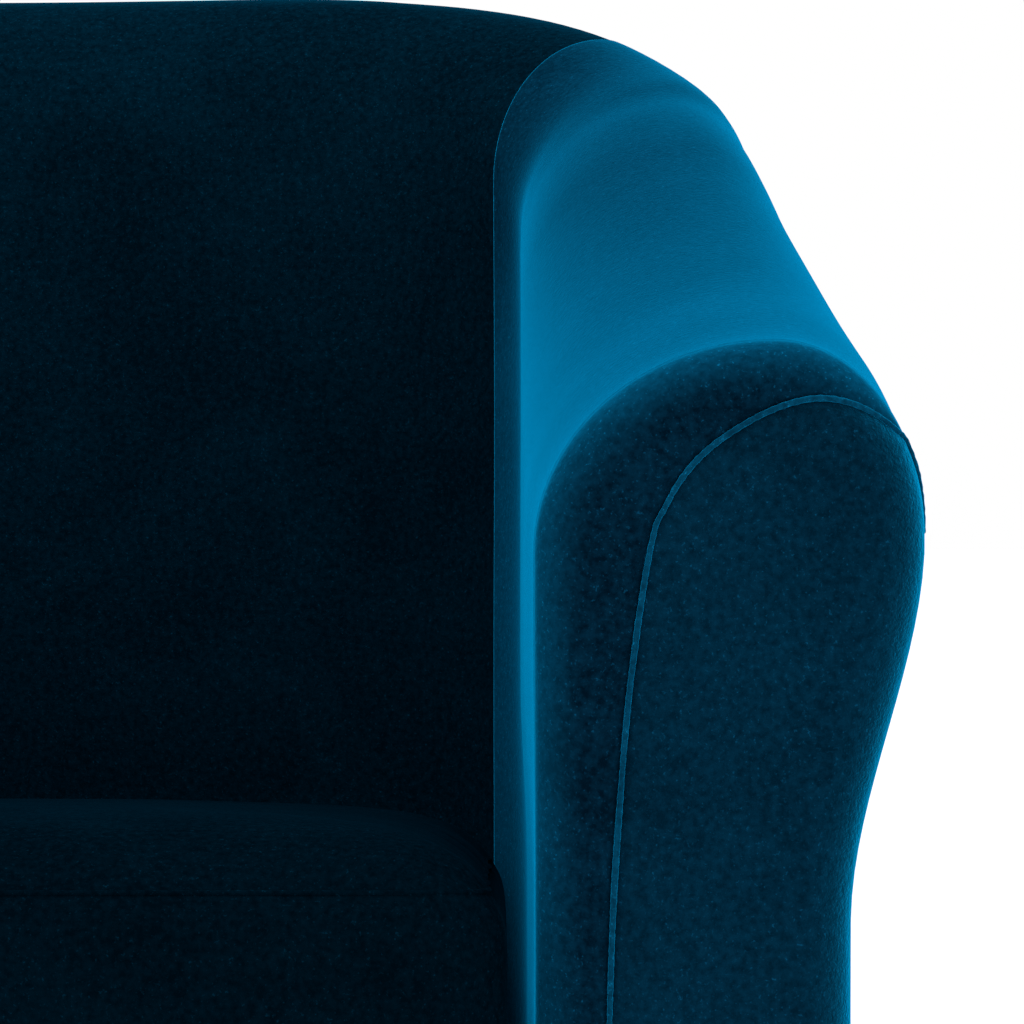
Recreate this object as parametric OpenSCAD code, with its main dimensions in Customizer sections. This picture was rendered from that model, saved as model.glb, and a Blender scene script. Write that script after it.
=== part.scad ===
// Upholstered tub armchair with a loose seat cushion, built in layers.
// X runs across the chair, Y from front to back, Z up from the floor.
// The origin is on the floor under the middle of the chair.

/* [Overall] */
// Height of the top of the back above the floor
back_height = 752; // [720:1:800]
// Height of the top of each arm at its front
arm_height = 612; // [590:1:640]
// Clear width between the arms
seat_width = 500; // [480:1:560]
// Depth from the arm fronts to the middle of the inside back
seat_depth = 520; // [480:1:560]
// Height of the lower edge of the upholstery
skirt_height = 165; // [140:1:180]

/* [Arms and back] */
// Width of the arm at its widest, near the top
arm_width = 112; // [108:1:116]
// Radius of the rounded front edge of the arm
front_round = 16; // [10:1:20]
// Width of the arm below the roll
arm_neck = 91; // [88:1:94]
// Thickness of the back at its top
back_thick = 88; // [86:1:96]
// Radius of the inside corner between arm and back
corner_r = 85; // [70:1:100]
// Radius of the gentle curve across the back
back_r = 700; // [650:10:900]
// How far the back leans for each unit of height
back_lean = 0.16; // [0.08:0.01:0.2]
// Thickness of the arm foam
arm_foam = 27.5; // [20:0.5:27.5]
// Thickness of the back foam
back_foam = 32; // [24:1:32]

/* [Seat] */
// Height of the platform under the cushion at the arm fronts
deck_height = 358; // [345:1:370]
// Backward slope of the seat in degrees
seat_tilt = 5.2; // [3:0.1:6]
// Thickness of the cushion at its border
cushion_thick = 105; // [90:1:120]
// Extra height of the cushion in its middle
cushion_crown = 14; // [6:1:20]
// How far the cushion stands out past the arm fronts
cushion_nose = 28; // [10:1:35]

/* [Legs] */
// Diameter of a leg at its top
leg_top_d = 46; // [40:1:50]
// Diameter of a leg at its foot
leg_foot_d = 27; // [24:1:34]
// Thickness of a leg glide
glide_h = 5; // [3:0.5:8]

/* [Hidden] */

// Clearances and sheet thicknesses
gap = 0.3;
cloth = 2;
lining = 3;
web_thick = 2;
tack_width = 7;
outer_wrap = 13;
board = 18;
rail_thick = 25;

// Height at which the lean starts, and how far below the roll the neck is
lean_from = 430;
neck_drop = 112;

// Plan of the inner face: a straight arm, a corner arc and the long back arc
half_seat = seat_width / 2;
deepest_back = back_thick + back_lean * lean_height(back_height - 46);
arm_front_y = (cushion_nose * cos(seat_tilt) - seat_depth - deepest_back) / 2;
back_y = arm_front_y + seat_depth;
corner_x = half_seat - corner_r;
back_centre_y = back_y - back_r;
corner_y = back_centre_y + sqrt(pow(back_r - corner_r, 2) - pow(corner_x, 2));
back_half_angle = asin(corner_x / (back_r - corner_r));
straight_len = corner_y - arm_front_y;
corner_len = corner_r * (90 - back_half_angle) * PI / 180;
half_len = straight_len + corner_len + back_r * back_half_angle * PI / 180;
split_s = straight_len + 0.42 * corner_len;

// Rings of stations along the wall and steps round its section
arm_stations = [20, 28, 80, 130, 180, 230, 280, 330, 370, straight_len];
corner_steps = 6;

// Places of the frame in the wall, measured outwards from the inner face
web_in = arm_foam + 0.3;
rail_in = web_in + web_thick + gap;
rail_out = rail_in + rail_thick;
board_low = skirt_height + 3;
rail_high = 290;
post_size = [28, 42];
post_angle = 40;
post_in = 36;
post_top = 676;
top_rail_h = 42;

// Springs and clips
spring_x = [-180, -90, 0, 90, 180];
spring_wire = 3.8;
spring_drop = 12;
clip_base = 1.6;

// Legs: [x, y] of the front and rear ones
front_leg = [252, arm_front_y + 80];
rear_leg = [211, back_y - 54];
bolt_d = 8;
bolt_len = 68;
block_h = 40;

velvet = [0.02, 0.24, 0.36];
foam_colour = [0.93, 0.88, 0.68];
beech = [0.80, 0.64, 0.44];
plywood = [0.76, 0.60, 0.38];
walnut = [0.25, 0.15, 0.09];
steel = [0.62, 0.63, 0.65];
black_cloth = [0.10, 0.10, 0.11];
webbing_colour = [0.30, 0.30, 0.29];
board_colour = [0.62, 0.55, 0.44];

// ---- Rules for the shape of the wall ----

function smooth(t) = let(c = min(1, max(0, t))) c * c * (3 - 2 * c);
function mix(a, b, t) = a + (b - a) * t;

// Height above the seat that leans, easing in at the seat and half as steep below it
function lean_height(z) = let(h = z - lean_from) 0.75 * h + 0.25 * (sqrt(h * h + 3600) - 60);

// Distance from the nearer arm front, measured along the inner face
function near_s(s) = min(s, 2 * half_len - s);

// The same distance measured along the outer face
function outer_s(s) = near_s(s) + 1.18 * min(corner_len, max(0, near_s(s) - straight_len));

// Point and outward direction on one half of the plan: [x, y, direction x, direction y]
function half_plan(s) =
    s <= straight_len ? [half_seat, arm_front_y + s, 1, 0] :
    s <= straight_len + corner_len ?
        let(a = (s - straight_len) / corner_r * 180 / PI)
        [corner_x + corner_r * cos(a), corner_y + corner_r * sin(a), cos(a), sin(a)] :
        let(b = back_half_angle - (s - straight_len - corner_len) / back_r * 180 / PI)
        [back_r * sin(b), back_centre_y + back_r * cos(b), sin(b), cos(b)];
function plan(s) = s <= half_len ? half_plan(s) :
    let(p = half_plan(2 * half_len - s)) [-p[0], p[1], -p[2], p[3]];

// Height of the top of the wall: a slow rise along the arm, then a sweep up round the corner
function top_z(s) = let(w = outer_s(s)) arm_height + (back_height - arm_height)
    * (0.58 * pow(min(1, w / 345), 1.56) + 0.42 * smooth((w - 305) / 317));

// Blend from the arm's section to the back's
function to_back(s) = smooth((outer_s(s) - 50) / 430);
function roll_in(s) = mix(arm_width - 43, back_thick - 36, to_back(s));
function roll_out(s) = mix(43, 36, to_back(s));
function rise_in(s) = mix(61, 58, to_back(s));
function rise_out(s) = mix(56, 62, to_back(s));
function outer_n(s, z) = let(wide = roll_in(s) + roll_out(s))
    mix(wide, mix(arm_neck, back_thick - 6, to_back(s)), smooth((top_z(s) - rise_out(s) - z) / neck_drop));

// Height of the seat platform at a place from front to back
function deck_z(y) = deck_height - tan(seat_tilt) * (y - arm_front_y);
function inner_foot(s) = mix(skirt_height, deck_z(plan(s)[1]) - 7, min(1, max(0, (s - 20) / 8)));

// Section of the wall at depth d under its skin: u runs 0 to 1 up the inner face, to 3 over
// the two quarter ellipses of the roll, and to 4 down the outer face; gives [outward, height]
function section(s, u, d) =
    let(low = inner_foot(s), h = top_z(s), a = roll_in(s), b = roll_out(s), p = rise_in(s), q = rise_out(s))
    u <= 1 ? [d, mix(low, h - p, u)] :
    u <= 2 ? let(f = (u - 1) * 90) [a - (a - d) * cos(f), h - p + (p - d) * sin(f)] :
    u <= 3 ? let(f = (u - 2) * 90) [a + (b - d) * sin(f), h - q + (q - d) * cos(f)] :
        let(z = mix(h - q, skirt_height, u - 3)) [outer_n(s, z) - d, z];

function lean_at(s, z) = back_lean * lean_height(z) * smooth((near_s(s) - 60) / 340);
function wall_point(s, u, d) = let(c = plan(s), k = section(s, u, d))
    [c[0] + c[2] * k[0], c[1] + c[3] * k[0] + lean_at(s, k[1]), k[1]];

// Depth of the facing seam in from the section's edge: even up the inner side, deeper at the
// spring of the roll, then running out to the edge on the outer shoulder
function seam_depth(u) = mix(21, 31.4, smooth((u - 0.78) / 0.32))
    * (1 - pow(min(1, max(0, (u - 1.3) / 1.37)), 1.35));

// The skin followed round the rounded front edge for a distance p, at depth d: [s, depth]
arc_len = front_round * PI / 2;
function round_front(p, d) = let(t = min(90, p / front_round * 180 / PI))
    [front_round - (front_round - d) * sin(t), front_round - (front_round - d) * cos(t) + max(0, p - arc_len)];
function seam_path(u) = let(e = seam_depth(u)) max(1,
    e > front_round ? arc_len + e - front_round : front_round * acos(1 - e / front_round) * PI / 180);
function front_point(u, p, d) = let(q = round_front(p, d), k = section(0, u, q[1]))
    [half_seat + k[0], arm_front_y + q[0], k[1]];

// Point at a set distance out from the inner face and a set height
function core_point(s, n, z) = let(c = plan(s))
    [c[0] + c[2] * n, c[1] + c[3] * n + lean_at(s, z)];

// Steps from a to b, with the corner and the back in even steps
function steps(a, b, count) = [for (i = [0:count]) mix(a, b, i / count)];
function right_stations(from) = concat([from], [for (s = arm_stations) if (s > from + 5) s],
    [for (i = [1:3]) mix(straight_len, split_s, i / 3) - (i == 3 ? gap : 0)]);
back_stations = concat([split_s + gap, split_s + tack_width],
    [for (i = [1:3]) mix(split_s, straight_len + corner_len, i / 3)],
    [for (i = [1:11]) mix(straight_len + corner_len, 2 * half_len - straight_len - corner_len, i / 12)],
    [for (i = [0:2]) mix(2 * half_len - straight_len - corner_len, 2 * half_len - split_s, i / 3)],
    [2 * half_len - split_s - tack_width, 2 * half_len - split_s - gap]);
face_steps = [0, 0.14, 0.28, 0.42, 0.56, 0.7, 0.84];
inside_steps = concat(face_steps, steps(1, 2, 5), steps(2.2, 3, 4));
foam_steps = concat(inside_steps, [3.08, 3.16]);
outside_steps = [3.02, 3.08, 3.16, 3.26, 3.34, 3.42, 3.5, 3.6, 3.8, 4];
lining_steps = [for (u = outside_steps) if (u > 3.2) u];

// A slab of the wall between two depths, over a grid of stations and section steps; its inner
// face may come nearer the skin on the outer side of the roll, to depth d1_out
module wall_slab(ss, us, d0, d1, d1_out = 0) {
    far = d1_out == 0 ? d1 : d1_out;
    sheet(len(ss), len(us),
        [for (s = ss) for (u = us) for (d = [d0, mix(d1, far, smooth(u - 2))]) wall_point(s, u, d)]);
}

// A closed sheet from a grid of ns by nu pairs of points, the outer one of each pair first
module sheet(ns, nu, points) {
    function at(i, j, k) = (i * nu + j) * 2 + k;
    skin = [for (i = [0:ns - 2]) for (j = [0:nu - 2]) each [
        [at(i, j, 0), at(i + 1, j, 0), at(i + 1, j + 1, 0)],
        [at(i, j, 0), at(i + 1, j + 1, 0), at(i, j + 1, 0)],
        [at(i, j, 1), at(i + 1, j + 1, 1), at(i + 1, j, 1)],
        [at(i, j, 1), at(i, j + 1, 1), at(i + 1, j + 1, 1)]]];
    ends = [for (j = [0:nu - 2]) each [
        [at(0, j, 0), at(0, j + 1, 0), at(0, j + 1, 1)],
        [at(0, j, 0), at(0, j + 1, 1), at(0, j, 1)],
        [at(ns - 1, j, 0), at(ns - 1, j + 1, 1), at(ns - 1, j + 1, 0)],
        [at(ns - 1, j, 0), at(ns - 1, j, 1), at(ns - 1, j + 1, 1)]]];
    edges = [for (i = [0:ns - 2]) each [
        [at(i, 0, 0), at(i, 0, 1), at(i + 1, 0, 1)],
        [at(i, 0, 0), at(i + 1, 0, 1), at(i + 1, 0, 0)],
        [at(i, nu - 1, 0), at(i + 1, nu - 1, 1), at(i, nu - 1, 1)],
        [at(i, nu - 1, 0), at(i + 1, nu - 1, 0), at(i + 1, nu - 1, 1)]]];
    polyhedron(points = points, faces = concat(skin, ends, edges), convexity = 6);
}

// Both sides of the chair from one right-hand piece
module left_of() { mirror([1, 0, 0]) children(); }

// Board cut to the arm's section, from y to y + thick
module section_board(d_in, d_out, y, thick, low) {
    translate([half_seat, y + thick, 0])
        rotate([90, 0, 0])
            linear_extrude(height = thick)
                polygon(board_outline(d_in, d_out, low));
}
function board_outline(d_in, d_out, low) = concat(
    [for (u = foam_steps) if (u < 2.7 || (d_in == d_out && u <= 3)) let(k = section(0, u, d_in)) [k[0], max(low, k[1])]],
    [for (u = outside_steps) if (u > 3.2 || d_in == d_out) let(k = section(0, u, d_out)) [k[0], max(low, k[1])]]);

// Solid with the arm's section, lofted from front to back through rows of [y, depth]
module section_loft(rows, low) {
    outlines = [for (r = rows) [for (k = board_outline(r[1], r[1], low)) [half_seat + k[0], r[0], k[1]]]];
    n = len(outlines[0]);
    last = len(rows) - 1;
    sides = [for (i = [0:last - 1]) for (j = [0:n - 1]) let(m = (j + 1) % n) each [
        [i * n + j, (i + 1) * n + j, (i + 1) * n + m],
        [i * n + j, (i + 1) * n + m, i * n + m]]];
    caps = [[for (j = [0:n - 1]) j], [for (j = [n - 1:-1:0]) last * n + j]];
    polyhedron(points = [for (o = outlines) each o], faces = concat(sides, caps), convexity = 6);
}

// Ring segment that follows the back arc, pushed back by the lean at its middle height
module back_ring(n_in, n_out, z_low, z_high, half_x) {
    shift = back_lean * lean_height((z_low + z_high) / 2);
    translate([0, back_centre_y + shift, z_low])
        intersection() {
            difference() {
                cylinder(h = z_high - z_low, r = back_r + n_out, $fn = 180);
                translate([0, 0, -1])
                    cylinder(h = z_high - z_low + 2, r = back_r + n_in, $fn = 180);
            }
            translate([-half_x, back_r / 2, -1])
                cube([2 * half_x, back_r, z_high - z_low + 2]);
        }
}

// ---- Wooden frame ----

front_rail_y = arm_front_y + 28.8;
front_rail_top = deck_z(front_rail_y + rail_thick / 2) - spring_drop - spring_wire / 2 - clip_base - 0.2;
back_rail_top = deck_z(back_y + 35) - spring_drop - spring_wire / 2 - clip_base - 0.2;
side_rail_back = corner_y + 34;

module front_rail() {
    color(beech)
        translate([-half_seat - web_in + gap, front_rail_y, board_low])
            cube([2 * (half_seat + web_in - gap), rail_thick, front_rail_top - board_low]);
}

module back_rail() {
    color(beech)
        back_ring(post_in, post_in + rail_thick, board_low, back_rail_top, corner_x + 73);
}

module right_side_rail() {
    color(beech)
        translate([half_seat + rail_in, arm_front_y + 47.2, board_low])
            cube([rail_thick, side_rail_back - arm_front_y - 47.2, rail_high - board_low]);
}

module left_side_rail() { left_of() right_side_rail(); }

module front_block() {
    wall_x = half_seat + rail_in - gap;
    wall_y = front_rail_y + rail_thick + gap;
    difference() {
        translate([0, 0, board_low])
            linear_extrude(height = block_h)
                polygon([[wall_x, wall_y], [wall_x - 80, wall_y], [wall_x - 80, wall_y + 14],
                    [wall_x - 14, wall_y + 80], [wall_x, wall_y + 80]]);
        bolt_hole(front_leg);
    }
}

module rear_block() {
    difference() {
        translate([rear_leg[0] - 30, rear_leg[1] - 30, board_low])
            cube([60, 58, block_h]);
        bolt_hole(rear_leg);
    }
}

// Clear hole for the threaded insert
module bolt_hole(place) {
    translate([place[0], place[1], board_low - 1])
        cylinder(h = block_h + 2, d = 11, $fn = 48);
}

module corner_blocks() {
    color(beech) {
        front_block();
        left_of() front_block();
        rear_block();
        left_of() rear_block();
    }
}

module right_front_panel() {
    color(plywood)
        section_board(web_in + gap, cloth + lining + 1, arm_front_y + 28.8, board, board_low);
}

module left_front_panel() { left_of() right_front_panel(); }

module right_back_post() {
    foot_y = back_lean * lean_height(board_low);
    head_y = back_lean * lean_height(post_top);
    tilt = atan((head_y - foot_y) / (post_top - board_low));
    reach = corner_r + post_in + post_size[0] / 2;
    color(beech)
        intersection() {
            translate([corner_x + reach * cos(post_angle), corner_y + reach * sin(post_angle) + foot_y, board_low])
                rotate([-tilt, 0, 0])
                    rotate([0, 0, post_angle])
                        translate([-post_size[0] / 2, -post_size[1] / 2, -20])
                            cube([post_size[0], post_size[1], back_height]);
            translate([0, 0, board_low])
                cube([2 * half_seat, seat_depth, post_top - board_low]);
        }
}

module left_back_post() { left_of() right_back_post(); }

// Arm rail: a board cut to the slope of the arm, between the front panel and the back post
module right_arm_rail() {
    start = 47.2;
    finish = side_rail_back - arm_front_y;
    ss = steps(start, finish, 14);
    high = [for (s = ss) [arm_front_y + s, rail_line(s)]];
    low = [for (i = [len(ss) - 1:-1:0]) [arm_front_y + ss[i], rail_line(ss[i]) - 46]];
    color(beech)
        translate([half_seat + rail_in, 0, 0])
            rotate([90, 0, 90])
                linear_extrude(height = rail_thick)
                    polygon(concat(high, low));
}
function rail_line(s) = top_z(min(s, straight_len)) - 57;

module left_arm_rail() { left_of() right_arm_rail(); }

module back_top_rail() {
    color(beech)
        back_ring(post_in + 1, post_in + 1 + rail_thick, post_top - top_rail_h, post_top, corner_x + 68);
}

module back_slats() {
    low = back_rail_top + gap;
    high = post_top - top_rail_h - gap;
    tilt = atan(back_lean * (lean_height(high) - lean_height(low)) / (high - low));
    color(beech)
        for (x = [-135, 135]) {
            y = back_centre_y + sqrt(pow(back_r + 40, 2) - x * x) + back_lean * lean_height(low);
            intersection() {
                translate([x - 15, y, low - 5])
                    rotate([-tilt, 0, 0])
                        cube([30, 16, high - low + 12]);
                translate([-200, 0, low])
                    cube([400, 600, high - low]);
            }
        }
}

// ---- Legs and their fixings ----

leg_top = skirt_height - 2.2;

module leg(place) {
    color(walnut)
        difference() {
            translate([place[0], place[1], glide_h + gap])
                cylinder(h = leg_top - glide_h - gap, d1 = leg_foot_d, d2 = leg_top_d, $fn = 72);
            translate([place[0], place[1], leg_top - 34])
                cylinder(h = 36, d = bolt_d + 0.3, $fn = 36);
            translate([place[0], place[1], 0])
                cylinder(h = 18, d = 5.3, $fn = 24);
        }
}

module front_right_leg() { leg(front_leg); }
module front_left_leg() { left_of() leg(front_leg); }
module rear_right_leg() { leg(rear_leg); }
module rear_left_leg() { left_of() leg(rear_leg); }

module at_legs() {
    for (place = [front_leg, rear_leg])
        for (side = [-1, 1])
            translate([side * place[0], place[1], 0])
                children();
}

module leg_bolts() {
    color(steel)
        at_legs()
            translate([0, 0, leg_top - 33])
                cylinder(h = bolt_len, d = bolt_d, $fn = 36);
}

// Threaded inserts: a barrel in the block and a flange on its top
module t_nuts() {
    color(steel)
        at_legs()
            difference() {
                union() {
                    translate([0, 0, board_low + block_h - 14])
                        cylinder(h = 15, d = 10.6, $fn = 24);
                    translate([0, 0, board_low + block_h + 0.2])
                        cylinder(h = 1.8, d = 22, $fn = 24);
                }
                translate([0, 0, board_low])
                    cylinder(h = block_h + 10, d = bolt_d + 0.3, $fn = 24);
            }
}

module leg_glides() {
    color([0.12, 0.12, 0.12])
        at_legs() {
            cylinder(h = glide_h, d = leg_foot_d - 3, $fn = 36);
            cylinder(h = 16, d = 5, $fn = 24);
        }
}

// ---- Seat suspension ----

function spring_start() = front_rail_y + 11;
function spring_end(x) = back_centre_y + sqrt(pow(back_r + post_in + 14, 2) - x * x)
    + back_lean * lean_height((board_low + back_rail_top) / 2);
function spring_z(y) = deck_z(y) - spring_drop;

// Tube of six sides along a list of points that lie nearly in one level
module wire(path, r) {
    n = len(path);
    sides = 6;
    function dir(i) = let(a = path[max(0, i - 1)], b = path[min(n - 1, i + 1)], v = b - a) v / norm(v);
    function ring(i) = let(t = dir(i), w = [t[1], -t[0], 0] / norm([t[0], t[1]]), up = cross(w, t))
        [for (k = [0:sides - 1]) path[i] + r * (cos(k * 60) * w + sin(k * 60) * up)];
    points = [for (i = [0:n - 1]) each ring(i)];
    side_faces = [for (i = [0:n - 2]) for (k = [0:sides - 1]) let(m = (k + 1) % sides) each [
        [i * sides + k, i * sides + m, (i + 1) * sides + m],
        [i * sides + k, (i + 1) * sides + m, (i + 1) * sides + k]]];
    caps = [[for (k = [sides - 1:-1:0]) k], [for (k = [0:sides - 1]) (n - 1) * sides + k]];
    polyhedron(points = points, faces = concat(side_faces, caps), convexity = 8);
}

// Zigzag spring: a sine wave with straight bars at both ends
module zigzag(x) {
    from = spring_start();
    to = spring_end(x);
    waves = 8;
    per = 6;
    count = waves * per;
    path = [for (i = [0:count]) let(y = mix(from, to, i / count))
        [x + 25 * cos(i * 360 / per), y, spring_z(y)]];
    wire(path, spring_wire / 2);
}

module seat_springs() {
    color(steel)
        for (x = spring_x)
            zigzag(x);
}

// Folded clips: a strip under and over the end of each spring
module clip(x, y) {
    z = spring_z(y);
    half = spring_wire / 2 + 0.4;
    translate([x + 25 - 16, y - 6, z - half - 1.2])
        difference() {
            cube([18, 12, 2 * half + 2.4]);
            translate([-1, 3, 1.2])
                cube([20, 12, 2 * half]);
        }
}

module spring_clips() {
    color(steel)
        for (x = spring_x) {
            translate([0, -4.5, 0])
                clip(x, spring_start());
            translate([0, 2 * spring_end(x) + 4.5, 0])
                mirror([0, 1, 0])
                    translate([0, 0, spring_z(spring_end(x)) - spring_z(spring_start())])
                        translate([0, spring_end(x) - spring_start(), 0])
                            clip(x, spring_start());
        }
}

module spring_tie_wires() {
    color(steel)
        for (y = [-110, 50])
            translate([-half_seat - rail_in + 1, y, spring_z(y) - spring_wire - 0.6])
                rotate([0, 90, 0])
                    cylinder(h = 2 * (half_seat + rail_in - 1), d = 3, $fn = 24);
}

// ---- Webbing ----

module right_arm_webbing() {
    color(webbing_colour)
        for (s = [70, 160, 250, 340])
            wall_slab([s, s + 25, s + 50], [0.07, 0.5, 0.93], web_in, web_in + web_thick);
}

module left_arm_webbing() { left_of() right_arm_webbing(); }

module back_webbing() {
    ss = [for (i = [4:len(back_stations) - 5]) back_stations[i]];
    color(webbing_colour)
        for (k = [0, 2, 4])
            wall_slab(ss, [face_steps[k], face_steps[k + 1]], back_foam + gap, back_foam + gap + web_thick);
}

// ---- Foam, linings and covers ----

front_gap = 28.5;

module right_arm_foam() {
    color(foam_colour)
        wall_slab(right_stations(front_gap + gap), foam_steps, cloth + gap, arm_foam, outer_wrap);
}

module left_arm_foam() { left_of() right_arm_foam(); }

module back_foam_pad() {
    color(foam_colour)
        wall_slab(back_stations, foam_steps, cloth + gap, back_foam, outer_wrap);
}

module right_front_pad() {
    rounded = [for (t = [90, 65, 45, 25, 0]) let(q = round_front(t * front_round * PI / 180, cloth + 1))
        [arm_front_y + q[0], q[1]]];
    color(foam_colour)
        section_loft(concat(rounded, [[arm_front_y + front_gap, cloth + 1]]), skirt_height + 1);
}

module left_front_pad() { left_of() right_front_pad(); }

module border_foam() {
    color(foam_colour)
        translate([-half_seat + gap, arm_front_y + cloth + 3.3, skirt_height + 1])
            cube([seat_width - 2 * gap, front_gap - cloth - 3.3, deck_height - 14 - skirt_height]);
}

module right_arm_lining() {
    color(board_colour)
        wall_slab(right_stations(front_gap + 1), lining_steps, cloth + gap, cloth + gap + lining);
}

module left_arm_lining() { left_of() right_arm_lining(); }

module back_lining() {
    inner = [for (i = [2:len(back_stations) - 3]) back_stations[i]];
    color(board_colour)
        wall_slab(inner, lining_steps, cloth + gap, cloth + gap + lining);
}

module back_tack_strips() {
    strip = [back_stations[0], back_stations[1]];
    color(steel) {
        wall_slab(strip, lining_steps, cloth + gap, cloth + gap + 1);
        left_of() wall_slab(strip, lining_steps, cloth + gap, cloth + gap + 1);
    }
}

// Inside arm cover: from the facing seam over the rounded front edge and back to the corner
module right_arm_cover() {
    ss = right_stations(front_round + 1);
    front = [for (k = [5:-1:0]) for (u = inside_steps) for (d = [0, cloth])
        front_point(u, mix(0, seam_path(u) - gap, k / 5), d)];
    color(velvet)
        sheet(6 + len(ss), len(inside_steps),
            concat(front, [for (s = ss) for (u = inside_steps) for (d = [0, cloth]) wall_point(s, u, d)]));
}

module left_arm_cover() { left_of() right_arm_cover(); }

module inside_back_cover() {
    color(velvet)
        wall_slab(back_stations, inside_steps, 0, cloth);
}

module right_outside_arm_cover() {
    color(velvet)
        wall_slab(right_stations(front_round + gap), outside_steps, 0, cloth);
}

module left_outside_arm_cover() { left_of() right_outside_arm_cover(); }

module outside_back_cover() {
    color(velvet)
        wall_slab(back_stations, outside_steps, 0, cloth);
}

// Arm facing: a flat panel inside the seam, with a strip that turns round the outer edge
edge_steps = concat(steps(2.2, 3, 4), [for (u = outside_steps) if (u > 3.05) u]);

module right_arm_facing() {
    flat = concat([[half_seat + 21 + gap, skirt_height]],
        [for (u = [0.6, 0.75, 0.85, 0.92, 1, 1.1, 1.2, 1.35, 1.5, 1.65, 1.8, 1.95, 2.08]) facing_place(u)],
        [for (u = edge_steps) facing_place(u)]);
    strip = [for (u = edge_steps) let(start = u > 3 ? 0 : seam_path(u) + gap) for (k = [0:5]) for (d = [0, cloth])
        front_point(u, k == 5 ? arc_len + 1 : mix(start, arc_len, k / 4), d)];
    color(velvet)
        union() {
            translate([0, arm_front_y + cloth, 0])
                rotate([90, 0, 0])
                    linear_extrude(height = cloth)
                        polygon(flat);
            sheet(len(edge_steps), 6, strip);
        }
}
function facing_place(u) = let(k = section(0, u, max(seam_depth(u) + gap, front_round + 0.3))) [half_seat + k[0], k[1]];

module left_arm_facing() { left_of() right_arm_facing(); }

// Seam of the facing: up the inner side, over the roll and out to the outer edge
module right_facing_seam() {
    us = concat([0.02, 0.3, 0.6, 0.75, 0.85, 0.92], steps(1, 2, 10), steps(2.1, 2.6, 8));
    path = [for (u = us) let(q = front_point(u, seam_path(u), -1.6)) [q[0], q[2], arm_front_y - q[1]]];
    color(velvet)
        translate([0, arm_front_y, 0])
            rotate([90, 0, 0])
                wire(path, 1.3);
}

module left_facing_seam() { left_of() right_facing_seam(); }

module front_border_cover() {
    color(velvet)
        translate([-half_seat + gap, arm_front_y + 3, skirt_height])
            cube([seat_width - 2 * gap, cloth, deck_height - 12 - skirt_height]);
}

// ---- Seat platform, dust cover and cushion ----

// Plan outline inside the wall, held back from its inner face
function inside_outline(side_gap, back_gap, front_y) =
    let(ss = concat([straight_len * 0.5, straight_len],
        [for (i = [1:6]) straight_len + corner_len * i / 6],
        [for (i = [1:11]) mix(straight_len + corner_len, 2 * half_len - straight_len - corner_len, i / 12)],
        [for (i = [6:-1:0]) 2 * half_len - straight_len - corner_len * i / 6],
        [2 * half_len - straight_len * 0.5]))
    concat([[half_seat - side_gap, front_y]],
        [for (s = ss) let(c = plan(s), k = mix(side_gap, back_gap, abs(c[3]))) [c[0] - c[2] * k, c[1] - c[3] * k]],
        [[-half_seat + side_gap, front_y]]);

// Stands its children on the sloping platform
module on_deck(lift) {
    translate([0, arm_front_y, deck_height])
        rotate([-seat_tilt, 0, 0])
            translate([0, -arm_front_y, lift])
                children();
}

module seat_deck() {
    color(board_colour)
        on_deck(-8)
            linear_extrude(height = 6)
                polygon(inside_outline(2, 12, arm_front_y + 30));
}

module seat_deck_cover() {
    color(black_cloth)
        on_deck(-1.7)
            linear_extrude(height = 1.4)
                polygon(inside_outline(2, 12, arm_front_y + 8));
}

module dust_cover() {
    ss = concat([1, straight_len], [for (i = [1:5]) straight_len + corner_len * i / 6], [straight_len + corner_len]);
    right = [for (s = ss) core_point(s, arm_neck - 6, skirt_height)];
    left = [for (i = [len(right) - 1:-1:0]) [-right[i][0], right[i][1]]];
    back = [for (i = [1:7]) core_point(mix(straight_len + corner_len,
        2 * half_len - straight_len - corner_len, i / 8), arm_neck - 6, skirt_height)];
    color(black_cloth)
        difference() {
            translate([0, 0, skirt_height - 1.8])
                linear_extrude(height = 1.2)
                    polygon(concat(right, back, left));
            at_legs()
                cylinder(h = skirt_height + 5, d = bolt_d + 3, $fn = 24);
        }
}

cushion_lift = 0.5;

// The cushion's outer form, shrunk by a margin: a straight border and a low crown
module cushion_form(margin) {
    front = arm_front_y - cushion_nose + margin;
    hull() {
        translate([0, 0, margin])
            linear_extrude(height = cushion_thick - 2 * margin)
                polygon(inside_outline(1.8 + margin, 12 + margin, front));
        translate([0, (front + back_y) / 2, cushion_thick + cushion_crown - margin - 1])
            scale([0.62, 0.62, 1])
                translate([0, -(front + back_y) / 2, 0])
                    linear_extrude(height = 1)
                        polygon(inside_outline(1.8 + margin, 12 + margin, front));
    }
}

module cushion_cover() {
    color(velvet)
        on_deck(cushion_lift)
            difference() {
                cushion_form(0);
                cushion_form(cloth);
            }
}

module cushion_core() {
    color(foam_colour)
        on_deck(cushion_lift)
            cushion_form(cloth + gap);
}

// Zip in the rear border of the cushion
module cushion_zip() {
    tape = [34, 14];
    color([0.05, 0.07, 0.08])
        on_deck(cushion_lift)
            intersection() {
                translate([0, back_centre_y, 0])
                    difference() {
                        translate([0, 0, cushion_thick / 2 - tape[1] / 2])
                            cylinder(h = tape[1], r = back_r - 12 + 1.8, $fn = 180);
                        cylinder(h = cushion_thick, r = back_r - 12 + 0.3, $fn = 180);
                    }
                translate([-tape[0] * 4, 0, 0])
                    cube([tape[0] * 8, 500, cushion_thick]);
            }
}

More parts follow.
